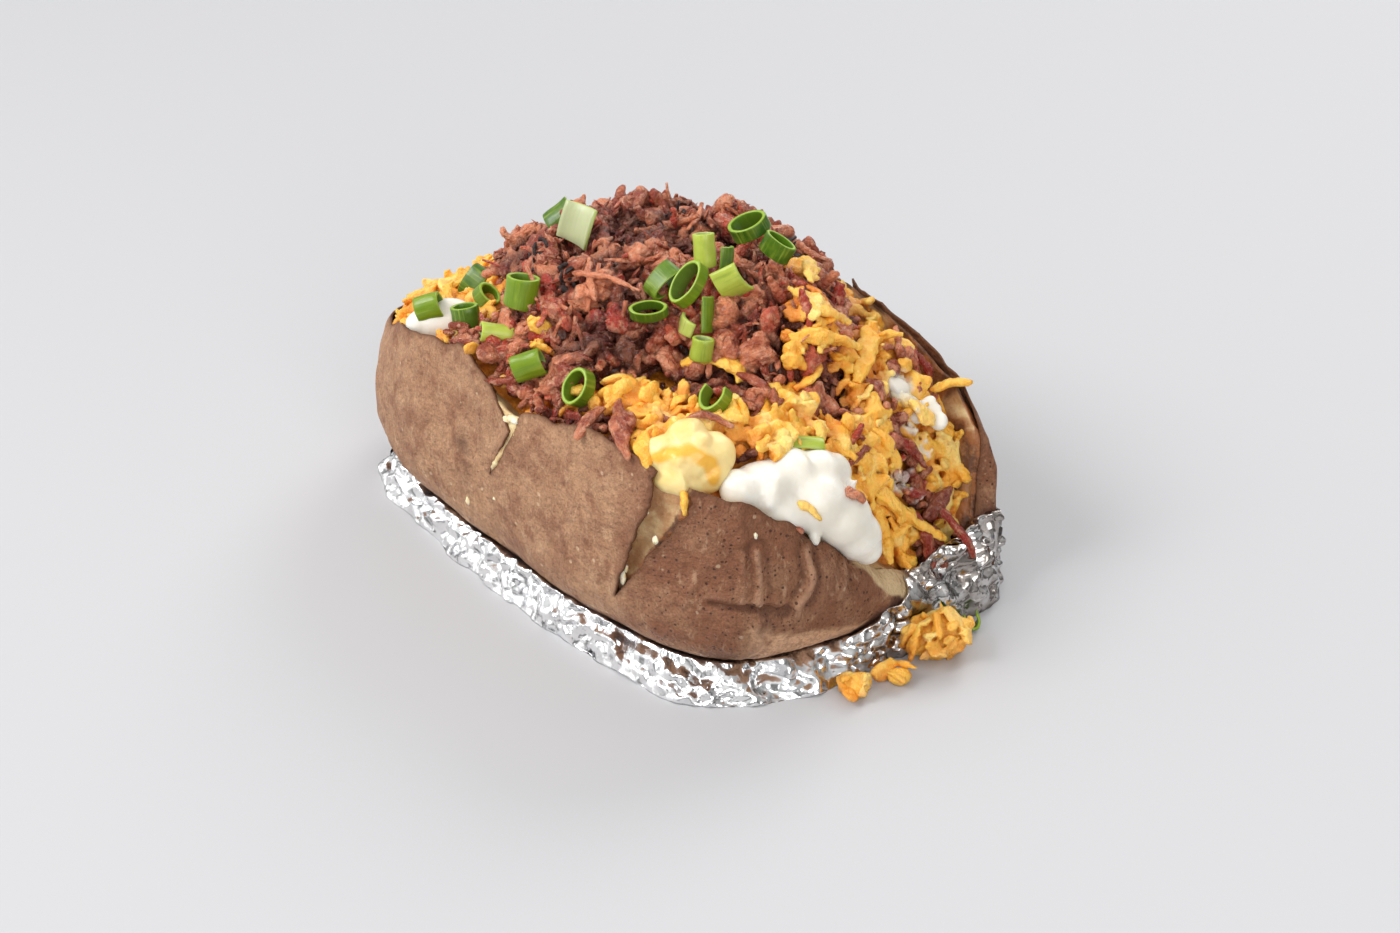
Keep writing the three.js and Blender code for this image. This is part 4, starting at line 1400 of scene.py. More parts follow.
# Where cream is smeared thinly over the cheese and beef: place and radius.
SMEARS = [
    ((54.0, 29.5, 52.0), 5.0), ((61.6, 26.7, 50.0), 4.0), ((65.1, 33.3, 48.5), 3.4),
    ((63.9, 30.2, 37.6), 2.8), ((65.9, 18.4, 36.4), 4.0), ((68.6, 22.8, 29.6), 2.6),
    ((60.0, 27.0, 45.0), 2.8), ((66.0, 22.0, 38.0), 2.4), ((90.0, 20.5, 13.0), 3.6),
]
# Places in plan, with a radius: where cheese lies on the beef, dark hollows, what the scoops cover,
# beef lying among the cheese, and the clumps of cheese by the near rim.
CHEESE_ON_BEEF = [
    (20, 26, 2.5), (33, 19, 4), (34, 13, 3.5), (40.6, 14, 4), (43, 20, 4.5), (44, 5, 3), (35, 35, 3),
    (44, 28, 4), (50, 17, 4.5), (50, 25, 4), (-2, -36, 1.5),
]
HOLLOWS = [(39, 6.5, 4), (52.4, 14.5, 2.5), (39, -19, 3), (57, -15, 2), (47, -14, 1.5), (17, -33, 2)]
SCOOPS = [
    (51, -35, 7), (58, -34, 4.5), (64, -27, 4.5), (61, -24, 3.5), (68, -15, 6.5), (73, -4, 7),
    (-40, -37, 8),
]
SHELF = [(72.5, 2, 4), (72.5, 7, 3.5)]
MIXED = [
    (63, 22, 4), (65, 26, 3.5), (66, 18, 2.5), (70, 27, 3.5), (72, 22, 3), (49, 35, 4), (47, 43, 5),
    (54, 24, 3), (43, -10, 5.5), (38, -16, 3), (28, -44, 3.5), (36, -41, 3), (19, -41, 2.5), (62, 8, 2),
    (8, -43, 5.5), (-2, -43, 6), (-12, -43, 6.5), (-22, -42, 6.5), (48, -8, 3), (56, 10, 2.5),
]


def smear_cream(obj):
    """Marks where cream lies thinly on an object's pieces."""
    points = coordinates(obj)
    share = np.zeros(len(points))
    ragged = 1.8 * noise(points, 3.0, 47) + 0.9 * noise(points, 1.3, 49)
    for place, radius in SMEARS:
        away = np.linalg.norm(points - place, axis=1) + ragged
        share = np.maximum(share, smooth(away, radius, radius * 0.5))
    set_values(obj, "creamed", share)


def slump(x, y):
    """How far the filling has sunk from the far wall of the open end, in mm."""
    across = np.hypot(x, y) / rim_radius(np.arctan2(y, x))
    return 11 * open_wall(x, y) * smooth(across, 0.72, 0.97)


def cheese_core():
    columns = 300
    angle = all_round(columns)
    edge = trough_point(angle, np.zeros(columns))
    rings = [np.array([[0, 0, TROUGH_FLOOR - 0.5]])]
    for share in (0.3, 0.6, 0.85):
        ring = edge * [share, share, 1]
        ring[:, 2] = np.minimum(TROUGH_FLOOR - 0.5, edge[:, 2] - 3)
        rings.append(ring)
    for share in np.linspace(0.975, 0.02, 64) ** 0.8:
        x, y = edge[:, 0] * share, edge[:, 1] * share
        relief = 1.2 * cheese_relief(x, y) + 0.7 * rough(laid_flat(x, y), 3.5, 125)
        drop = CHEESE_DEPTH - 1 + 5 * smooth(share, 0.86, 0.95) + slump(x, y)
        drop += 3 * smooth(share, 0.75, 0.9) * smooth(x, 45, 60) + 9 * near(x, y, SHELF)
        drop += 7 * smooth(share, 0.76, 0.9) * smooth(x, 14, 2) * smooth(y, -25, -35)
        height = np.maximum(cheese_top(x, y) - drop + relief, edge[:, 2] - 6)
        rings.append(np.stack([x, y, height], axis=1))
    rings.append(np.array([[0, 0, float(cheese_top(np.array(0.01), np.array(0.0))) - CHEESE_DEPTH]]))
    points, faces = ring_mesh(rings)
    return make_object("cheese_core", points, faces, CHEDDAR, {"tint": np.full(len(points), 0.3)})


SHREDS = variants("shred", [
    shred(11, 12.5, 4.4, 2.0, 0.8), shred(12, 10.0, 5.0, 2.2, 1.2), shred(13, 14.0, 3.6, 1.8, 1.0),
    shred(14, 8.0, 5.2, 2.4, 0.7), shred(15, 10.0, 4.0, 2.1, 1.8), shred(16, 7.0, 4.4, 2.6, 0.5),
    lump(17, (7.0, 5.4, 4.0), 0.55), lump(18, (5.6, 4.6, 3.6), 0.7), lump(19, (4.4, 3.6, 3.0), 0.6),
])


def cheese_height(x, y):
    return cheese_top(x, y) + 0.6 + cheese_relief(x, y) - slump(x, y) - 3.5 * near(x, y, HOLLOWS)


def beef_height(x, y):
    return beef_top(x, y) - 2.6 + beef_relief(x, y) - 4.0 * near(x, y, HOLLOWS)


def mass_height(x, y):
    return np.where(beef_share(x, y) > 1, cheese_height(x, y), beef_height(x, y))


def mark_depth(obj, reach=3.6, lift=0.0):
    """Marks how far each point lies below the tops of the clumps, for the shade between them."""
    points = coordinates(obj)
    x, y = points[:, 0], points[:, 1]
    crest = np.where(beef_share(x, y) > 1, cheese_top(x, y) + 0.9 - slump(x, y), beef_top(x, y) - 2.0)
    set_values(obj, "deep", np.clip((crest - lift - points[:, 2]) / reach, 0, 1))
    if not obj.data.attributes.get("tint"):
        set_values(obj, "tint", 0.5 + 0.45 * noise(points, 4.5, 17))
    if not obj.data.attributes.get("grain"):
        set_grain(obj, points + noise_vectors(points, 7, 23) * 9)


def kept_in(obj):
    """Draws in whatever would poke out through the skin below the rim."""
    points = coordinates(obj)
    angle = np.arctan2(points[:, 1], points[:, 0])
    rim = rim_height(angle)
    belly = belly_height(rim)
    up = np.clip((points[:, 2] - belly) / (rim - belly), 0, 1)
    limit = plan_radius(angle) * (1 - RIM_LEAN * up**LEAN_POWER) - FILLING_INSET
    share = limit / np.maximum(np.hypot(points[:, 0], points[:, 1]), 1)
    inward = np.where(points[:, 2] < rim - 0.4, np.minimum(1, share), 1)
    points = points * np.stack([inward, inward, np.ones_like(inward)], axis=1)
    points[:, 2] = np.maximum(points[:, 2], 0.3)
    move_points(obj, points)


def darker(obj, least, most):
    """Squeezes the tints of an object's pieces into a narrower range."""
    set_values(obj, "tint", mix(least, most, values_of(obj, "tint")))


def gaps(x, y):
    """1 in the gaps between the placed clumps, where beef shows."""
    return open_side(x) * smooth(clump_share(x, y), 0.5, 0.2)


def cheese_cover(x, y):
    bare = np.maximum(near(x, y, SCOOPS + SHELF), np.maximum(0.9 * near(x, y, MIXED), near(x, y, HOLLOWS)))
    return smooth(beef_share(x, y), 0.86, 0.93) * (1 - bare) * (1 - gaps(x, y))


def cheese_bed(rise, margin):
    """A sheet for cheese to lie on, at a height from its clumps and a distance in from the rim."""
    return bed_object(
        lambda x, y: cheese_height(x, y) + rise, cheese_cover,
        lambda x, y: inside_rim(x, y, margin) & (beef_share(x, y) > 0.84),
    )


cheese = cheese_core()
mark_depth(cheese, 4.5)
clumped = scattered(
    "cheese_clumps", cheese_bed(-1.5, 1.0), SHREDS, CHEDDAR, 2.9, (0.5, 1.05), 0.9, 0.0, 5,
)
fused(clumped, 0.55, 0, 0.34, 201)
mark_depth(clumped)
shreds = scattered(
    "cheese_shreds", cheese_bed(-0.6, 3.0), SHREDS, CHEDDAR, 6.5, (0.45, 0.85), 0.5, 0.5, 15,
)
mark_depth(shreds, 3.6, 0.4)
upper = scattered(
    "cheese_on_beef",
    bed_object(
        lambda x, y: mass_height(x, y) + 0.8, lambda x, y: near(x, y, CHEESE_ON_BEEF),
        lambda x, y: inside_rim(x, y) & (near(x, y, CHEESE_ON_BEEF) > 0.05),
    ),
    SHREDS, CHEDDAR, 2.7, (0.45, 0.95), 0.7, 0.5, 9,
)
fused(upper, 0.5, 0, 0.42, 211)
mark_depth(upper, 3.0, -1.0)
for piece in (cheese, clumped, shreds, upper):
    kept_in(piece)
    smear_cream(piece)
    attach(piece, "root")
    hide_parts("cheese")


# ---- Beef ---------------------------------------------------------------------------------------
def beef_core():
    columns = 360
    angle = all_round(columns)
    reach = round_table(BEEF_REACH, angle)
    middle = np.array([BEEF_MIDDLE[0], BEEF_MIDDLE[1], 0])
    rings = [middle[None] + [0, 0, CHEESE_CROWN - 7]]
    for share in (0.5, 0.94):
        ring = middle + polar(angle, reach * share, 0 * angle)
        ring[:, 2] = cheese_top(ring[:, 0], ring[:, 1]) - 4
        rings.append(ring)
    for share in np.linspace(0.96, 0.015, 84):
        ring = middle + polar(angle, reach * share, 0 * angle)
        x, y = ring[:, 0], ring[:, 1]
        relief = beef_relief(x, y) + 1.1 * np.abs(noise(ring, 2.6, 145)) + 0.5 * noise(ring, 1.2, 149)
        ring[:, 2] = beef_top(x, y) - 5.4 + relief - 4.0 * near(x, y, HOLLOWS)
        rings.append(ring)
    top = float(beef_top(np.array(middle[0]), np.array(middle[1])))
    rings.append(middle[None] + [0, 0, top - 5.4])
    points, faces = ring_mesh(rings)
    return make_object("beef_core", points, faces, BEEF)


CHUNKS = variants("chunk", [
    lump(31, (12.0, 7.5, 5.0), 0.8), lump(32, (9.0, 7.0, 5.0), 0.9), lump(33, (13.5, 5.6, 4.4), 0.8),
    lump(34, (8.0, 6.0, 4.6), 0.9), lump(35, (10.5, 4.8, 4.0), 0.8), lump(36, (8.6, 7.6, 4.6), 1.0),
    lump(37, (14.0, 4.6, 3.8), 0.7), lump(38, (7.0, 5.4, 4.0), 0.9),
])
BUNDLES = variants("bundle", [
    shred(61, 10.0, 3.6, 2.0, 0.9), shred(62, 8.0, 3.0, 1.8, 1.3), shred(63, 13.0, 2.4, 1.6, 1.0),
    shred(64, 7.0, 4.0, 2.2, 0.8), shred(65, 9.0, 2.2, 1.6, 1.5), shred(66, 6.0, 3.4, 2.0, 0.9),
    lump(67, (6.0, 4.6, 3.0), 1.1),
])
FIBRES = variants("fibre", [
    shred(41, 8.5, 1.3, 1.0, 1.1), shred(42, 12.0, 1.5, 1.0, 0.9), shred(43, 6.0, 1.2, 0.9, 1.6),
    shred(44, 8.0, 2.0, 1.1, 0.8), shred(45, 5.5, 1.4, 0.9, 1.6), shred(46, 6.0, 2.4, 1.3, 0.8),
])
CRUMBS = variants("crumb", [
    lump(51, (3.4, 1.5, 1.2), 0.8, 1), lump(52, (2.4, 1.6, 1.1), 0.9, 1), lump(53, (4.4, 1.1, 0.9), 0.8, 1),
])
BARK_PLACES = [(-29, -20, 3.5), (-25, -18, 3), (-11, -22, 2.6), (-8, -23, 2), (-20, 20, 3), (10, 30, 3)]


def on_beef(x, y):
    return inside_rim(x, y, 0.5) & (beef_share(x, y) < 1.0)


def off_hollows(x, y):
    return smooth(beef_share(x, y), 1.0, 0.95) * (1 - 0.8 * near(x, y, HOLLOWS))


def beef_bed(rise):
    """A sheet for beef to lie on, at a height from its lumps."""
    return bed_object(lambda x, y: beef_height(x, y) + rise, off_hollows, on_beef)


beef = beef_core()
mass = scattered(
    "beef_mass", beef_bed(-2.2), CHUNKS, BEEF, 6.4, (0.7, 1.25), 0.55, 0.0, 21, 0.8,
)
fused(mass, 0.68, 0, 0.6, 221, 0.5)
chunks = scattered(
    "beef_chunks", beef_bed(-1.0), BUNDLES, BEEF, 6.2, (0.6, 1.2), 0.5, 0.3, 27, 0.8,
)
fused(chunks, 0.48, 0, 0.4, 223, 0.45)
fibres = scattered(
    "beef_fibres", beef_bed(-0.1), FIBRES, BEEF, 4.2, (0.6, 1.3), 0.7, 0.1, 31, 0.4,
)
crumbs = scattered(
    "beef_crumbs", beef_bed(-0.1), CRUMBS, BEEF, 2.8, (0.5, 1.2), 1.2, 0.3, 41, 0.8,
)
bark = scattered(
    "beef_bark",
    bed_object(
        lambda x, y: beef_height(x, y) + 0.9, lambda x, y: near(x, y, BARK_PLACES),
        lambda x, y: near(x, y, BARK_PLACES) > 0.02, 0.7,
    ),
    BUNDLES, BARK, 2.4, (0.35, 0.7), 0.9, 0.1, 51,
)
among = scattered(
    "beef_among_cheese",
    bed_object(
        lambda x, y: cheese_height(x, y) - 0.8 + 1.5 * near(x, y, MIXED),
        lambda x, y: np.maximum(near(x, y, MIXED), gaps(x, y)) * (1 - near(x, y, SCOOPS + SHELF)),
        lambda x, y: inside_rim(x, y, 2) & (beef_share(x, y) > 0.92),
    ),
    BUNDLES, BEEF, 3.2, (0.5, 1.0), 1.0, 0.2, 61,
)
fused(among, 0.5, 0, 0.16, 225, 0.45)
darker(among, 0.1, 0.55)
for piece in (beef, mass, chunks, fibres, crumbs, among):
    mark_depth(piece, 3.2, 0.8 if piece in (mass, among) else 0.4)
for piece in (beef, mass, chunks, fibres, crumbs, bark, among):
    kept_in(piece)
    smear_cream(piece)
    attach(piece, "root")
    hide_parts("beef")


# ---- Strips and strands laid one by one ---------------------------------------------------------
def strip(path, width, thickness, tint, seed):
    """A long strip through a few points, with uneven edges and thin ends."""
    path = np.array(path, dtype=float)
    count = 18
    knots = np.concatenate([[0], np.cumsum(np.linalg.norm(np.diff(path, axis=0), axis=1))])
    along = np.linspace(0, knots[-1], count)
    line = np.stack([np.interp(along, knots, path[:, k]) for k in range(3)], axis=1)
    for _ in range(3):
        line[1:-1] = (line[:-2] + 2 * line[1:-1] + line[2:]) / 4
    share = along / knots[-1]
    chance = np.random.default_rng(seed)
    ends = np.clip(np.sin(np.clip(share, 0.03, 0.97) * math.pi), 0, 1) ** 0.4
    widths = width * ends * (1 + 0.28 * np.interp(share, np.linspace(0, 1, 8), chance.uniform(-1, 1, 8)))
    turns = np.interp(share, np.linspace(0, 1, 4), chance.uniform(-1, 1, 4) * 0.6)
    sides = 10
    points, faces = strip_mesh(line, widths, thickness * ends, turns, sides)
    knobs = noise_vectors(points, 1.7, seed)
    fine = noise_vectors(points, 0.8, seed)
    around = TURN * np.arange(len(points)) / sides
    lengthwise = np.interp(np.arange(len(points)) / sides, np.arange(count), along)
    across, through = width / 2 * np.cos(around), thickness / 2 * np.sin(around)
    grain = np.stack([across, through, lengthwise + 9.0 * seed], axis=1)
    return points + knobs * 0.14 * width + fine * 0.12, faces, grain, np.full(len(points), tint)


# Points along each strip, its width, its thickness and its tint from dark 0 to pale 1.
CHEESE_STRIPS = [
    ([(24, -15, 62), (29, -11, 64.5), (35, -7, 64.5), (39, -9, 62)], 5.0, 2.2, 0.6),
    ([(30.7, 13.6, 74.9), (36, 14, 75.4), (40.6, 15.4, 73), (42.1, 22.6, 67.4)], 4.6, 2.0, 0.7),
    ([(42, 4, 70), (45, 11, 69.5), (45.6, 17.2, 66.4), (46.2, 22.6, 62.3)], 4.2, 2.0, 0.5),
    ([(36, 35, 60), (43, 29, 61), (48, 23, 60), (51, 17, 57)], 4.8, 2.2, 0.6),
    ([(22, 27, 74.2), (27, 23.7, 75.4), (31, 20.2, 74)], 4.0, 1.8, 0.8),
    ([(46, -21, 60), (48.5, -19, 62.5), (51, -17, 60)], 6.0, 2.0, 0.5),
    ([(63, 6, 43), (66, 9, 39), (69, 13, 33.5), (71, 16.5, 28.5)], 7.5, 2.6, 0.55),
    ([(69, 14, 33), (71.5, 18, 27.5), (75.0, 26, 20.0)], 3.0, 1.7, 0.5),
    ([(68, 8, 36), (71, 8.5, 30), (73.5, 7.5, 25.5), (75.4, 7.0, 22)], 3.4, 1.8, 0.5),
    ([(58, 15, 49), (62, 17, 46.5), (66, 18, 39)], 3.4, 2.0, 0.6),
    ([(55, 38, 48), (57, 43, 49.8), (60.1, 47.1, 49.6)], 3.2, 1.6, 0.6),
    ([(56, 30, 50), (58.7, 30.1, 48.9), (62.7, 32.1, 44.9)], 4.2, 2.0, 0.8),
    ([(55.5, -40, 53), (57.8, -42.1, 51.9), (58.6, -42.8, 48.4)], 1.7, 1.2, 0.6),
    ([(70.8, -19, 48.4), (73.4, -17.3, 47.2), (75.6, -15.7, 44.7)], 2.8, 1.1, 0.8),
    ([(41, -40, 60.5), (45, -43.5, 60), (49, -44.8, 57)], 4.0, 2.4, 0.5),
]
BEEF_STRIPS = [
    ([(26, -40, 61), (28, -46.5, 60.8), (28.3, -49.6, 57.2)], 2.8, 1.8, 0.5),
    ([(29, -38, 62), (36, -43.5, 62.5), (44, -47.3, 58.5)], 3.6, 2.0, 0.46),
    ([(27, -36, 62), (34, -42, 62), (41, -46.8, 59)], 2.2, 1.6, 0.62),
    ([(42, -31, 61), (47, -27, 64), (52, -22.5, 61)], 2.0, 1.3, 0.4),
    ([(-7.6, -22.5, 76), (1.4, -19.2, 77.6), (11.4, -16.7, 77.1)], 2.4, 1.4, 0.93),
    ([(-9, -16, 77), (-4, -20.4, 76.8), (4.1, -24.4, 73.9)], 2.0, 1.2, 0.8),
    ([(36, -9, 63), (44, -7.5, 63.5), (51, -5, 59)], 2.4, 1.6, 0.25),
    ([(48, 40, 55), (51.5, 41, 51.4), (53.4, 39.4, 47.4)], 2.2, 1.4, 0.02),
    ([(69.1, 32.6, 29.4), (69.2, 28.6, 27.4), (70.4, 23.4, 24.6)], 4.0, 2.8, 0.03),
    ([(68, 19, 34), (69, 22, 32), (69.5, 24, 31)], 2.8, 2.0, 0.02),
    (
        [(69.1, 27.6, 27.4), (73.2, 28.2, 24.4), (76.8, 28.6, 22.4), (79, 29.5, 20), (80.2, 30.5, 16)],
        2.4, 1.8, 0.02,
    ),
    ([(70, 20, 28), (73.5, 21, 22), (76, 21, 14)], 3.4, 2.4, 0.02),
    ([(72, 24, 24), (75, 24.5, 18), (77, 24, 12)], 3.0, 2.2, 0.03),
    ([(60, 18, 47), (64, 24, 42), (66, 27, 36)], 2.6, 1.8, 0.02),
    ([(75.1, -7.9, 48.6), (75.6, -4.7, 46.6), (76.7, -3.7, 45)], 3.4, 2.2, 0.88),
]
for name, rows, finish, node, slot in (
    ("cheese_strips", CHEESE_STRIPS, CHEDDAR, "cheese", "cheddar"),
    ("beef_strips", BEEF_STRIPS, BEEF, "beef", "beef"),
):
    strips = [strip(*row, 300 + k) for k, row in enumerate(rows)]
    points, faces = joined([made[:2] for made in strips])
    tints = np.concatenate([made[3] for made in strips])
    piece = turned_outward(make_object(name, points, faces, finish, {"tint": tints}))
    set_grain(piece, np.vstack([made[2] for made in strips]))
    fused(piece, 0.4, 0, 0.28, 231, 0.25)
    mark_depth(piece, 3.0, 40)
    # Painted shade on the darkest strips, which lie low in the open end.
    set_values(piece, "deep", 0.4 * (values_of(piece, "tint") < 0.05))
    smear_cream(piece)
    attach(piece, "root")
    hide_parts(node)


# ---- Sour cream and butter ----------------------------------------------------------------------
# A scoop's face looks towards the near open corner: across it, up it and out from it.
ACROSS = np.array([0.643, 0.766, 0.0])
UP_FACE = np.array([-0.417, 0.350, 0.839])
OUTWARD = np.array([0.642, -0.539, 0.545])


def scoop(name, centre, blobs, finish, folds, seed, voxel=0.55, rounds=14):
    """A soft heap: balls run together and smoothed, then folded. Blobs are offsets on the scoop's
    face, half sizes, and how far each is rolled about the outward direction in degrees."""
    sphere, faces = ball(4)
    parts = []
    for across, up, out, wide, tall, deep, roll in blobs:
        turn = math.radians(roll)
        side = ACROSS * math.cos(turn) + UP_FACE * math.sin(turn)
        head = UP_FACE * math.cos(turn) - ACROSS * math.sin(turn)
        middle = np.array(centre) + ACROSS * across + UP_FACE * up + OUTWARD * out
        points = middle + sphere[:, :1] * wide * side + sphere[:, 1:2] * tall * head
        parts.append((points + sphere[:, 2:] * deep * OUTWARD, faces))
    points, faces = joined(parts)
    made = make_object(name, points, faces, finish)
    run_together(made, voxel, rounds)
    flattened(made)
    points, out = coordinates(made), normals(made)
    warp = points + 2.0 * noise_vectors(points, 9, seed)
    ridge = 1 - np.abs(noise(warp * [1, 1, 0.5], 9.0, seed + 4)) * 2
    move_points(made, points + out * (folds * ridge + 0.25 * folds * noise(points, 2.4, seed + 9))[:, None])
    return made


def mound_blobs(size, seed):
    """Blobs for a plain scoop of a given size across, up and deep, with a swirl on it."""
    chance = np.random.default_rng(seed)
    count = 6
    wide, tall, deep = (value / 2 for value in size)
    blobs = [(0, 0, 0, wide * 0.85, tall * 0.8, deep * 0.85, 0)]
    for k in range(count):
        turn = TURN * k / count + chance.uniform(-0.3, 0.3)
        blobs.append((
            wide * 0.55 * math.cos(turn), tall * 0.5 * math.sin(turn), deep * chance.uniform(0.05, 0.4),
            wide * chance.uniform(0.3, 0.45), tall * chance.uniform(0.3, 0.5), deep * 0.45,
            chance.uniform(-40, 40),
        ))
    return blobs


cream_front = scoop("sour_cream_scoop", (67.4, -13.8, 43.4), [
    (-14.6, 3.6, 8.0, 5.4, 4.6, 5.0, -20), (-9.0, 3.9, 4.5, 7.6, 6.6, 6.5, -10),
    (-4.1, 5.6, 1.5, 7.6, 7.0, 6.5, 0), (-3.6, 9.6, 0.8, 4.4, 3.6, 4.5, 25),
    (3.2, 6.8, -1.6, 6.6, 6.2, 6, -10), (7.6, 7.6, -4.0, 3.8, 4.4, 4.5, 0),
    (2.0, 1.2, 0.0, 9.2, 7.8, 8, -20), (8.0, -2.6, -3.0, 8.2, 7.2, 8, -30),
    (12.2, -6.6, -5.5, 6.6, 6.0, 6.5, -40), (15.1, -10.4, -7.2, 3.6, 3.8, 4, -30),
    (-5.4, -0.5, 3.5, 7.2, 5.2, 6, -25), (2.2, -7.6, 3.2, 1.3, 2.0, 1.4, 20),
    (11.6, 5.0, -1.2, 0.8, 1.9, 0.9, -35), (0.6, 6.0, 4.4, 1.8, 5.4, 2.2, 8),
    (-7.5, 3.0, 10.0, 1.6, 4.4, 1.8, -14),
], CREAM, 0.38, 61, 0.6, 26)
cream_left = scoop("sour_cream_left_scoop", (-40, -37, 53), mound_blobs((23, 13, 12), 62), CREAM, 0.4, 63)
cream_right = scoop("sour_cream_right_smear", (59.0, 33, 46.0), [
    (0, 0, 0, 4.4, 2.6, 1.9, 20), (-7.1, 5.9, 1.4, 3.6, 2.6, 1.4, -15),
    (2.6, -1.8, 0.6, 2.6, 2.6, 1.5, -10), (0.6, 2.4, 0, 2.4, 2.2, 1.6, 20),
    (-8.8, 7.6, 1.2, 3.0, 1.6, 1.2, -20), (-3.6, 2.8, 1.0, 3.2, 1.8, 1.3, -30),
], CREAM, 0.9, 65, 0.4, 5)
BUTTER_PLACE = (51.6, -35, 56.4)
butter = scoop("butter_scoop", BUTTER_PLACE, [
    (0, 0, -0.5, 8.4, 6.4, 6.4, 0), (-1, 5.2, -1, 4.8, 3.8, 5, 12), (5.4, 1.6, -1.2, 4.8, 5.2, 5, -20),
    (-6.6, 0.6, -0.6, 4.0, 5.0, 4.6, 18), (-3.6, -4.2, 0.8, 5.2, 3.6, 4.8, 0),
    (4.4, -3.6, 0.2, 4.8, 3.4, 4.6, 30), (0.4, 7.6, -1.4, 1.8, 1.8, 2.6, 0),
    (1.0, -5.2, 0.4, 3.6, 2.6, 4.0, -20), (-6.0, 3.4, 0.2, 2.6, 2.4, 3.6, 40),
    (2.2, 4.4, 1.6, 3.2, 2.2, 3.4, 30), (-2.4, 0.4, 3.2, 3.4, 2.0, 3.2, -25),
], BUTTER, 0.9, 67, 0.5, 6)
# A melted streak across the butter: points across and up its face.
MELTED = [(-7, 1.2), (-2.5, 2.4), (2.0, 1.6), (4.6, -0.6), (5.6, -3.4)]


def melt_share(points, middle):
    face = np.stack([(points - middle) @ ACROSS, (points - middle) @ UP_FACE], axis=1)
    return smooth(near_path(face, MELTED) + 0.8 * noise(points, 2.0, 69), 2.4, 0.9)


set_values(butter, "melt", melt_share(coordinates(butter), np.array(BUTTER_PLACE)))
for piece, node, slot in (
    (cream_front, "sour_cream_front", "sour_cream"), (cream_left, "sour_cream_left", "sour_cream"),
    (cream_right, "sour_cream_right", "sour_cream"), (butter, "butter", "butter"),
):
    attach(piece, "root")
    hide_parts(node)


# ---- Spring onion -------------------------------------------------------------------------------
# radius, how flat the tube is, length, how much of the wall there is in degrees
ONION_CUTS = {
    "tube": (3.6, 0.8, 7.5, 360), "ring": (4.6, 0.72, 4.2, 360), "leaf": (4.8, 0.45, 5.2, 360),
    "stalk": (2.7, 0.88, 7, 360), "strip": (4.2, 1, 7.5, 100), "plate": (8.5, 1, 9.5, 70),
}
# cut, place, tilt, heading, spin, tone from dark green 0 to pale 1, and changes to the cut
ONIONS = [
    ("plate", (-26, -6, 76), 22, 91, 14, 1.0, {}),
    ("strip", (-37, -5, 75), 52, 62, -165, 0.15, {}),
    ("tube", (-42, -41, 58), 70, 46, 177, 0.4, {"length": 6.5}),
    ("leaf", (-49, -22, 55), 107, 15, 151, 0.1, {}),
    ("ring", (-36, -28, 59), 40, 18, 180, 0.3, {"radius": 3.4}),
    ("tube", (-29, -39, 59), 15, 178, -134, 0.12, {"length": 8.5}),
    ("tube", (-14, -33, 72), 12, 90, -46, 0.38, {"radius": 4.1}),
    ("stalk", (-14, -41, 63), 77, -124, 176, 0.78, {"length": 8}),
    ("tube", (0, -42, 61), 70, 49, -176, 0.5, {"flat": 0.7}),
    ("ring", (17, -40, 62), 53, -85, -172, 0.25, {}),
    ("stalk", (15, 0, 83.9), 16, 157, -118, 0.75, {"length": 8}),
    ("strip", (20, 4, 81), 22, 127, -114, 0.15, {"radius": 3.4}),
    ("leaf", (12, -10.5, 78), 101, -3, 132, 0.2, {}),
    ("ring", (19, -8, 79), 47, -95, -177, 0.4, {"radius": 5.8, "flat": 0.55}),
    ("ring", (16, -18, 74), 21, -57, 106, 0.15, {"length": 3.2, "flat": 0.5}),
    ("strip", (27, -1.5, 79), 60, 48, -77, 0.75, {"radius": 6.5}),
    ("strip", (22, -13, 71), 20, 73, -172, 0.9, {"length": 4}),
    ("stalk", (29, -12.5, 67.5), 14, 108, -70, 0.68, {"length": 5.5}),
    ("ring", (43, -20, 64), 40, -88, 16, 0.35, {"sweep": 235}),
    ("ring", (13, 16, 83.5), 25, -121, 172, 0.1, {"radius": 5}),
    ("leaf", (21.5, 17.5, 81), 25, 33, -9, 0.1, {"radius": 4.2}),
    ("strip", (25.5, -6.5, 73), 27, 136, -116, 0.3, {"radius": 3.4, "length": 9}),
    ("strip", (61.5, -7.5, 56.2), 84, -127, 169, 0.7, {"radius": 2.8}),
    ("ring", (85.6, 25.4, 2.9), 75, -40, 20, 0.2, {"radius": 2.8, "length": 3.4, "sweep": 235}),
]
ONION_WALL = 1.1


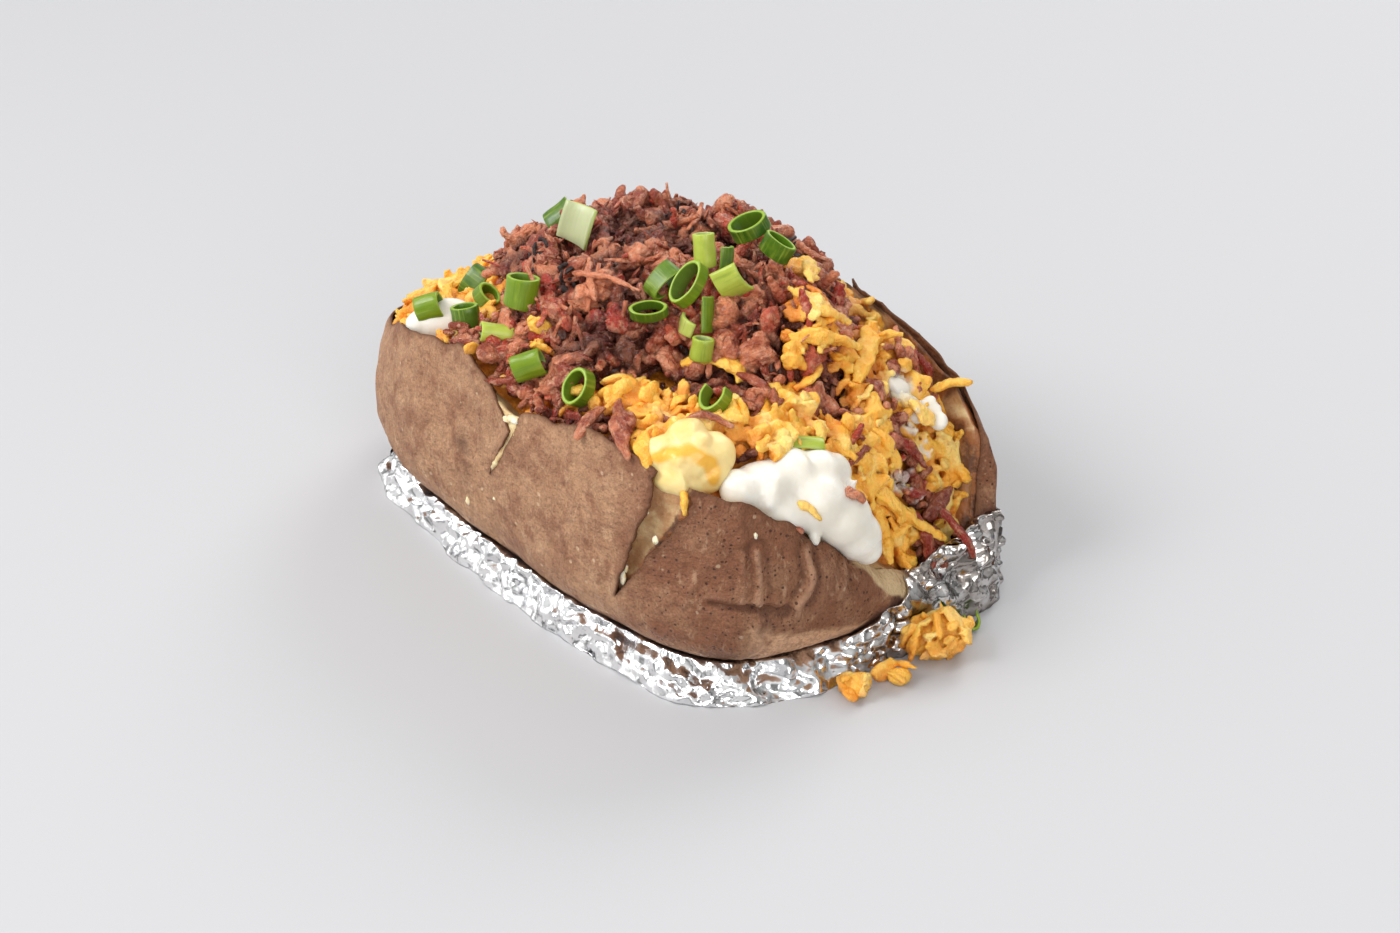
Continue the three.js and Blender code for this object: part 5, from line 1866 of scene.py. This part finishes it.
def onion_points(cut, changes, seed):
    """Points, faces and finish values of one cut, with its stem along Z."""
    radius, flat, length, sweep = ONION_CUTS[cut]
    radius, flat = changes.get("radius", radius), changes.get("flat", flat)
    length, sweep = changes.get("length", length), changes.get("sweep", sweep)
    whole = sweep == 360
    steps = 36 if whole else max(8, int(sweep / 7))
    half = length / 2
    soft = 0.22
    levels = np.linspace(-half + soft, half - soft, 7)
    thin = ONION_WALL - 0.15
    bevel = half - soft / 3
    profile = [(0, level, 0, 0) for level in levels]
    profile += [(0.1, bevel, 0, 0.6), (thin * 0.5, half, 0.5, 1), (thin - 0.1, bevel, 1, 0.6)]
    profile += [(thin, level, 1, 0) for level in levels[::-1]]
    profile += [(thin - 0.1, -bevel, 1, 0.6), (thin * 0.5, -half, 0.5, 1), (0.1, -bevel, 0, 0.6)]
    profile = np.array(profile, dtype=float)
    if whole:
        turn = TURN * np.arange(steps) / steps
    else:
        turn = np.radians(np.linspace(-sweep / 2, sweep / 2, steps))
    inset, level = profile[:, 0][None], profile[:, 1][None]
    around = turn[:, None]
    shift = radius if sweep < 180 else 0
    wave = 0.16 * noise(np.stack(np.broadcast_arrays(
        radius * np.cos(around), radius * np.sin(around), level), axis=-1).reshape(-1, 3), 2.6, seed)
    reach = radius - inset + wave.reshape(len(turn), -1)
    slant = 0.08 * math.sin(seed * 2.1) * reach * np.cos(around + seed)
    grid = np.stack(np.broadcast_arrays(
        reach * np.cos(around) - shift, reach * flat * np.sin(around),
        level + slant * np.sign(level) * (np.abs(level) > half - 2 * soft)), axis=-1)
    if sweep < 180:
        grid[..., 0] += 0.02 * grid[..., 2] ** 2 * math.sin(seed)
    count = len(profile)
    index = np.arange(len(turn) * count).reshape(len(turn), count)
    following = np.roll(index, -1, axis=1)
    if whole:
        other, other_next = np.roll(index, -1, axis=0), np.roll(following, -1, axis=0)
        faces = [np.stack([index, other, other_next, following], axis=-1).reshape(-1, 4)]
    else:
        faces = [np.stack([index[:-1], index[1:], following[1:], following[:-1]], axis=-1).reshape(-1, 4)]
    points = grid.reshape(-1, 3)
    wall, end = np.tile(profile[:, 2], len(turn)), np.tile(profile[:, 3], len(turn))
    if not whole:
        for row, flip in ((0, False), (len(turn) - 1, True)):
            middle = points[index[row]].mean(axis=0)
            points = np.vstack([points, middle[None]])
            wall, end = np.append(wall, 0.5), np.append(end, 1.0)
            hub = np.full(count, len(points) - 1)
            cap = [hub, index[row], following[row]] if not flip else [hub, following[row], index[row]]
            faces.append(np.stack(cap, axis=1))
    return points, faces, wall, end


def onion_object(number, row):
    cut, at, tilt, heading, spin, tone, changes = row
    points, faces, wall, end = onion_points(cut, changes, number)
    place = (
        Matrix.Rotation(math.radians(heading), 3, "Z") @ Matrix.Rotation(math.radians(tilt), 3, "Y")
        @ Matrix.Rotation(math.radians(spin), 3, "Z")
    )
    placed = points @ np.array(place).T + np.array(at)
    made = make_object(
        f"onion_cut_{number:02d}", placed, faces, ONION,
        {"wall": wall, "cut": end, "tone": np.full(len(points), tone)},
    )
    set_grain(made, points + number * 9.0)
    return turned_outward(made)


for number, row in enumerate(ONIONS, 1):
    piece = onion_object(number, row)
    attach(piece, "root")
    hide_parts(f"spring_onion_{number:02d}")


# ---- Spilled cheese -----------------------------------------------------------------------------
def clump(name, centre, size, heading, seed):
    """A few shreds fallen in a heap: strewn over a low mound, with a small core under them."""
    turn = math.radians(heading)
    columns = 24
    angle = TURN * np.arange(columns) / columns
    pole = np.array([[0.0, 0.0, size[2] / 2]])
    rings = [pole * -1]
    for k in range(1, 8):
        share = math.pi * k / 8
        rings.append(np.stack([
            size[0] / 2 * np.cos(angle) * math.sin(share), size[1] / 2 * np.sin(angle) * math.sin(share),
            np.full(columns, -size[2] / 2 * math.cos(share)),
        ], axis=1))
    rings.append(pole)
    points, faces = ring_mesh(rings)
    points = points * (1 + 0.35 * rough(points, 5, seed))[:, None] * 0.78
    spun = np.array(Matrix.Rotation(turn, 3, "Z"))
    points = points @ spun.T + np.array(centre)
    points[:, 2] = np.maximum(points[:, 2], 0)
    bed = make_object("bed", points, faces, None, {"cover": (points[:, 2] > 0.4).astype(float)})
    heap = scattered(name, bed, CHUNKS, CHEDDAR, 3.2, (0.3, 0.66), 1.0, 0.0, seed)
    core = make_object(name + "_core", points, faces, CHEDDAR, {"tint": np.full(len(points), 0.3)})
    fused(heap, 0.42, 1, 0.14, seed)
    placed = coordinates(heap)
    # Painted shade: the heap darkens towards its foot.
    set_values(heap, "deep", np.clip(1 - placed[:, 2] / size[2] * 1.6, 0, 1) * 0.7)
    node = name.replace("cheese_fallen", "spilled_cheese")
    low, high = (np.array(corner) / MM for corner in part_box(node))
    low, high = np.array([low[0] - 1, low[1] - 1, 0]), high + [0, 0.5 - size[0] / 6, 1]
    least, most = placed.min(axis=0), placed.max(axis=0)
    move_points(heap, low + (placed - least) * (high - low) / (most - least))
    smear_cream(heap)
    return [heap, core]


for number, (centre, size, heading) in enumerate((
    ((87, 13.5, 4.5), (21, 15, 13), 62), ((87, -13, 2.4), (9, 7.5, 7), 100), ((90, -3, 2), (8, 6.5, 5), 70),
), 1):
    for piece in clump(f"cheese_fallen_{number}", centre, size, heading, 70 + number):
        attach(piece, "root")
        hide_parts(f"spilled_cheese_{number}")


# ---- Floor, light and camera --------------------------------------------------------------------
def stage_floor():
    far = 6000
    corners = [(-far, -far, 0), (far, -far, 0), (far, far, 0), (-far, far, 0)]
    floor = make_object("floor", corners, [np.array([[0, 1, 2, 3]])])
    look = Finish("pale_floor", Roughness=0.6, Base_Color=srgb(188, 188, 190))
    floor.data.materials.append(look.material)


def soft_light(name, place, aim, size, power):
    data = bpy.data.lights.new(name, "AREA")
    data.shape, data.size, data.energy = "DISK", size, power
    light = bpy.data.objects.new(name, data)
    light.location = place
    light.rotation_euler = (Vector(aim) - Vector(place)).to_track_quat("-Z", "Y").to_euler()
    bpy.context.scene.collection.objects.link(light)


def studio_world():
    """An even pale surround, brighter overhead and dimmer towards the horizon."""
    world = bpy.data.worlds.new("studio")
    bpy.context.scene.world = world
    world.use_nodes = True
    tree = world.node_tree
    back = tree.nodes["Background"]
    look = add_node(tree, "ShaderNodeTexCoord").outputs["Generated"]
    height = add_node(tree, "ShaderNodeSeparateXYZ", {0: look}).outputs["Z"]
    bright = ranged(tree, height, 0.0, 0.6, 0.14, 0.85)
    side = vector_node(tree, "DOT_PRODUCT", look, (-0.62, -0.72, 0.32))
    window = ranged(tree, side, 0.75, 0.97, 0.0, 0.9)
    right = vector_node(tree, "DOT_PRODUCT", look, (0.84, 0.52, 0.12))
    shade = ranged(tree, right, 0.1, 0.85, 1.0, 0.5)
    light = math_node(tree, "ADD", math_node(tree, "MULTIPLY", bright, shade), window)
    tree.links.new(light, back.inputs["Strength"])
    back.inputs["Color"].default_value = (1.0, 1.0, 1.0, 1)


TARGET = Vector((0.0252, -0.0099, 0.0315))
stage_floor()
studio_world()
soft_light("key", (-0.36, -0.8, 0.92), TARGET, 0.6, 9)
soft_light("back", (-0.3, 0.9, 0.8), TARGET, 0.6, 5)
soft_light("fill", (0.95, -0.4, 0.55), TARGET, 0.7, 4.5)

camera_data = bpy.data.cameras.new("camera")
camera = bpy.data.objects.new("camera", camera_data)
bpy.context.scene.collection.objects.link(camera)
DISTANCE, AZIMUTH, ELEVATION = 0.711, math.radians(-40), math.radians(33)
camera.location = TARGET + DISTANCE * Vector((
    math.cos(ELEVATION) * math.cos(AZIMUTH), math.cos(ELEVATION) * math.sin(AZIMUTH), math.sin(ELEVATION),
))
camera.rotation_euler = (TARGET - camera.location).to_track_quat("-Z", "Y").to_euler()
camera_data.sensor_width, camera_data.lens = 36, 74.97
camera_data.clip_start, camera_data.clip_end = 0.02, 50
bpy.context.scene.camera = camera
bpy.context.scene.view_settings.view_transform = "Standard"

# The loose kinds that were strewn aren't part of the model.
for kept in (SHREDS, CHUNKS, BUNDLES, FIBRES, CRUMBS):
    for piece in list(kept.objects):
        bpy.data.objects.remove(piece)
    bpy.data.collections.remove(kept)
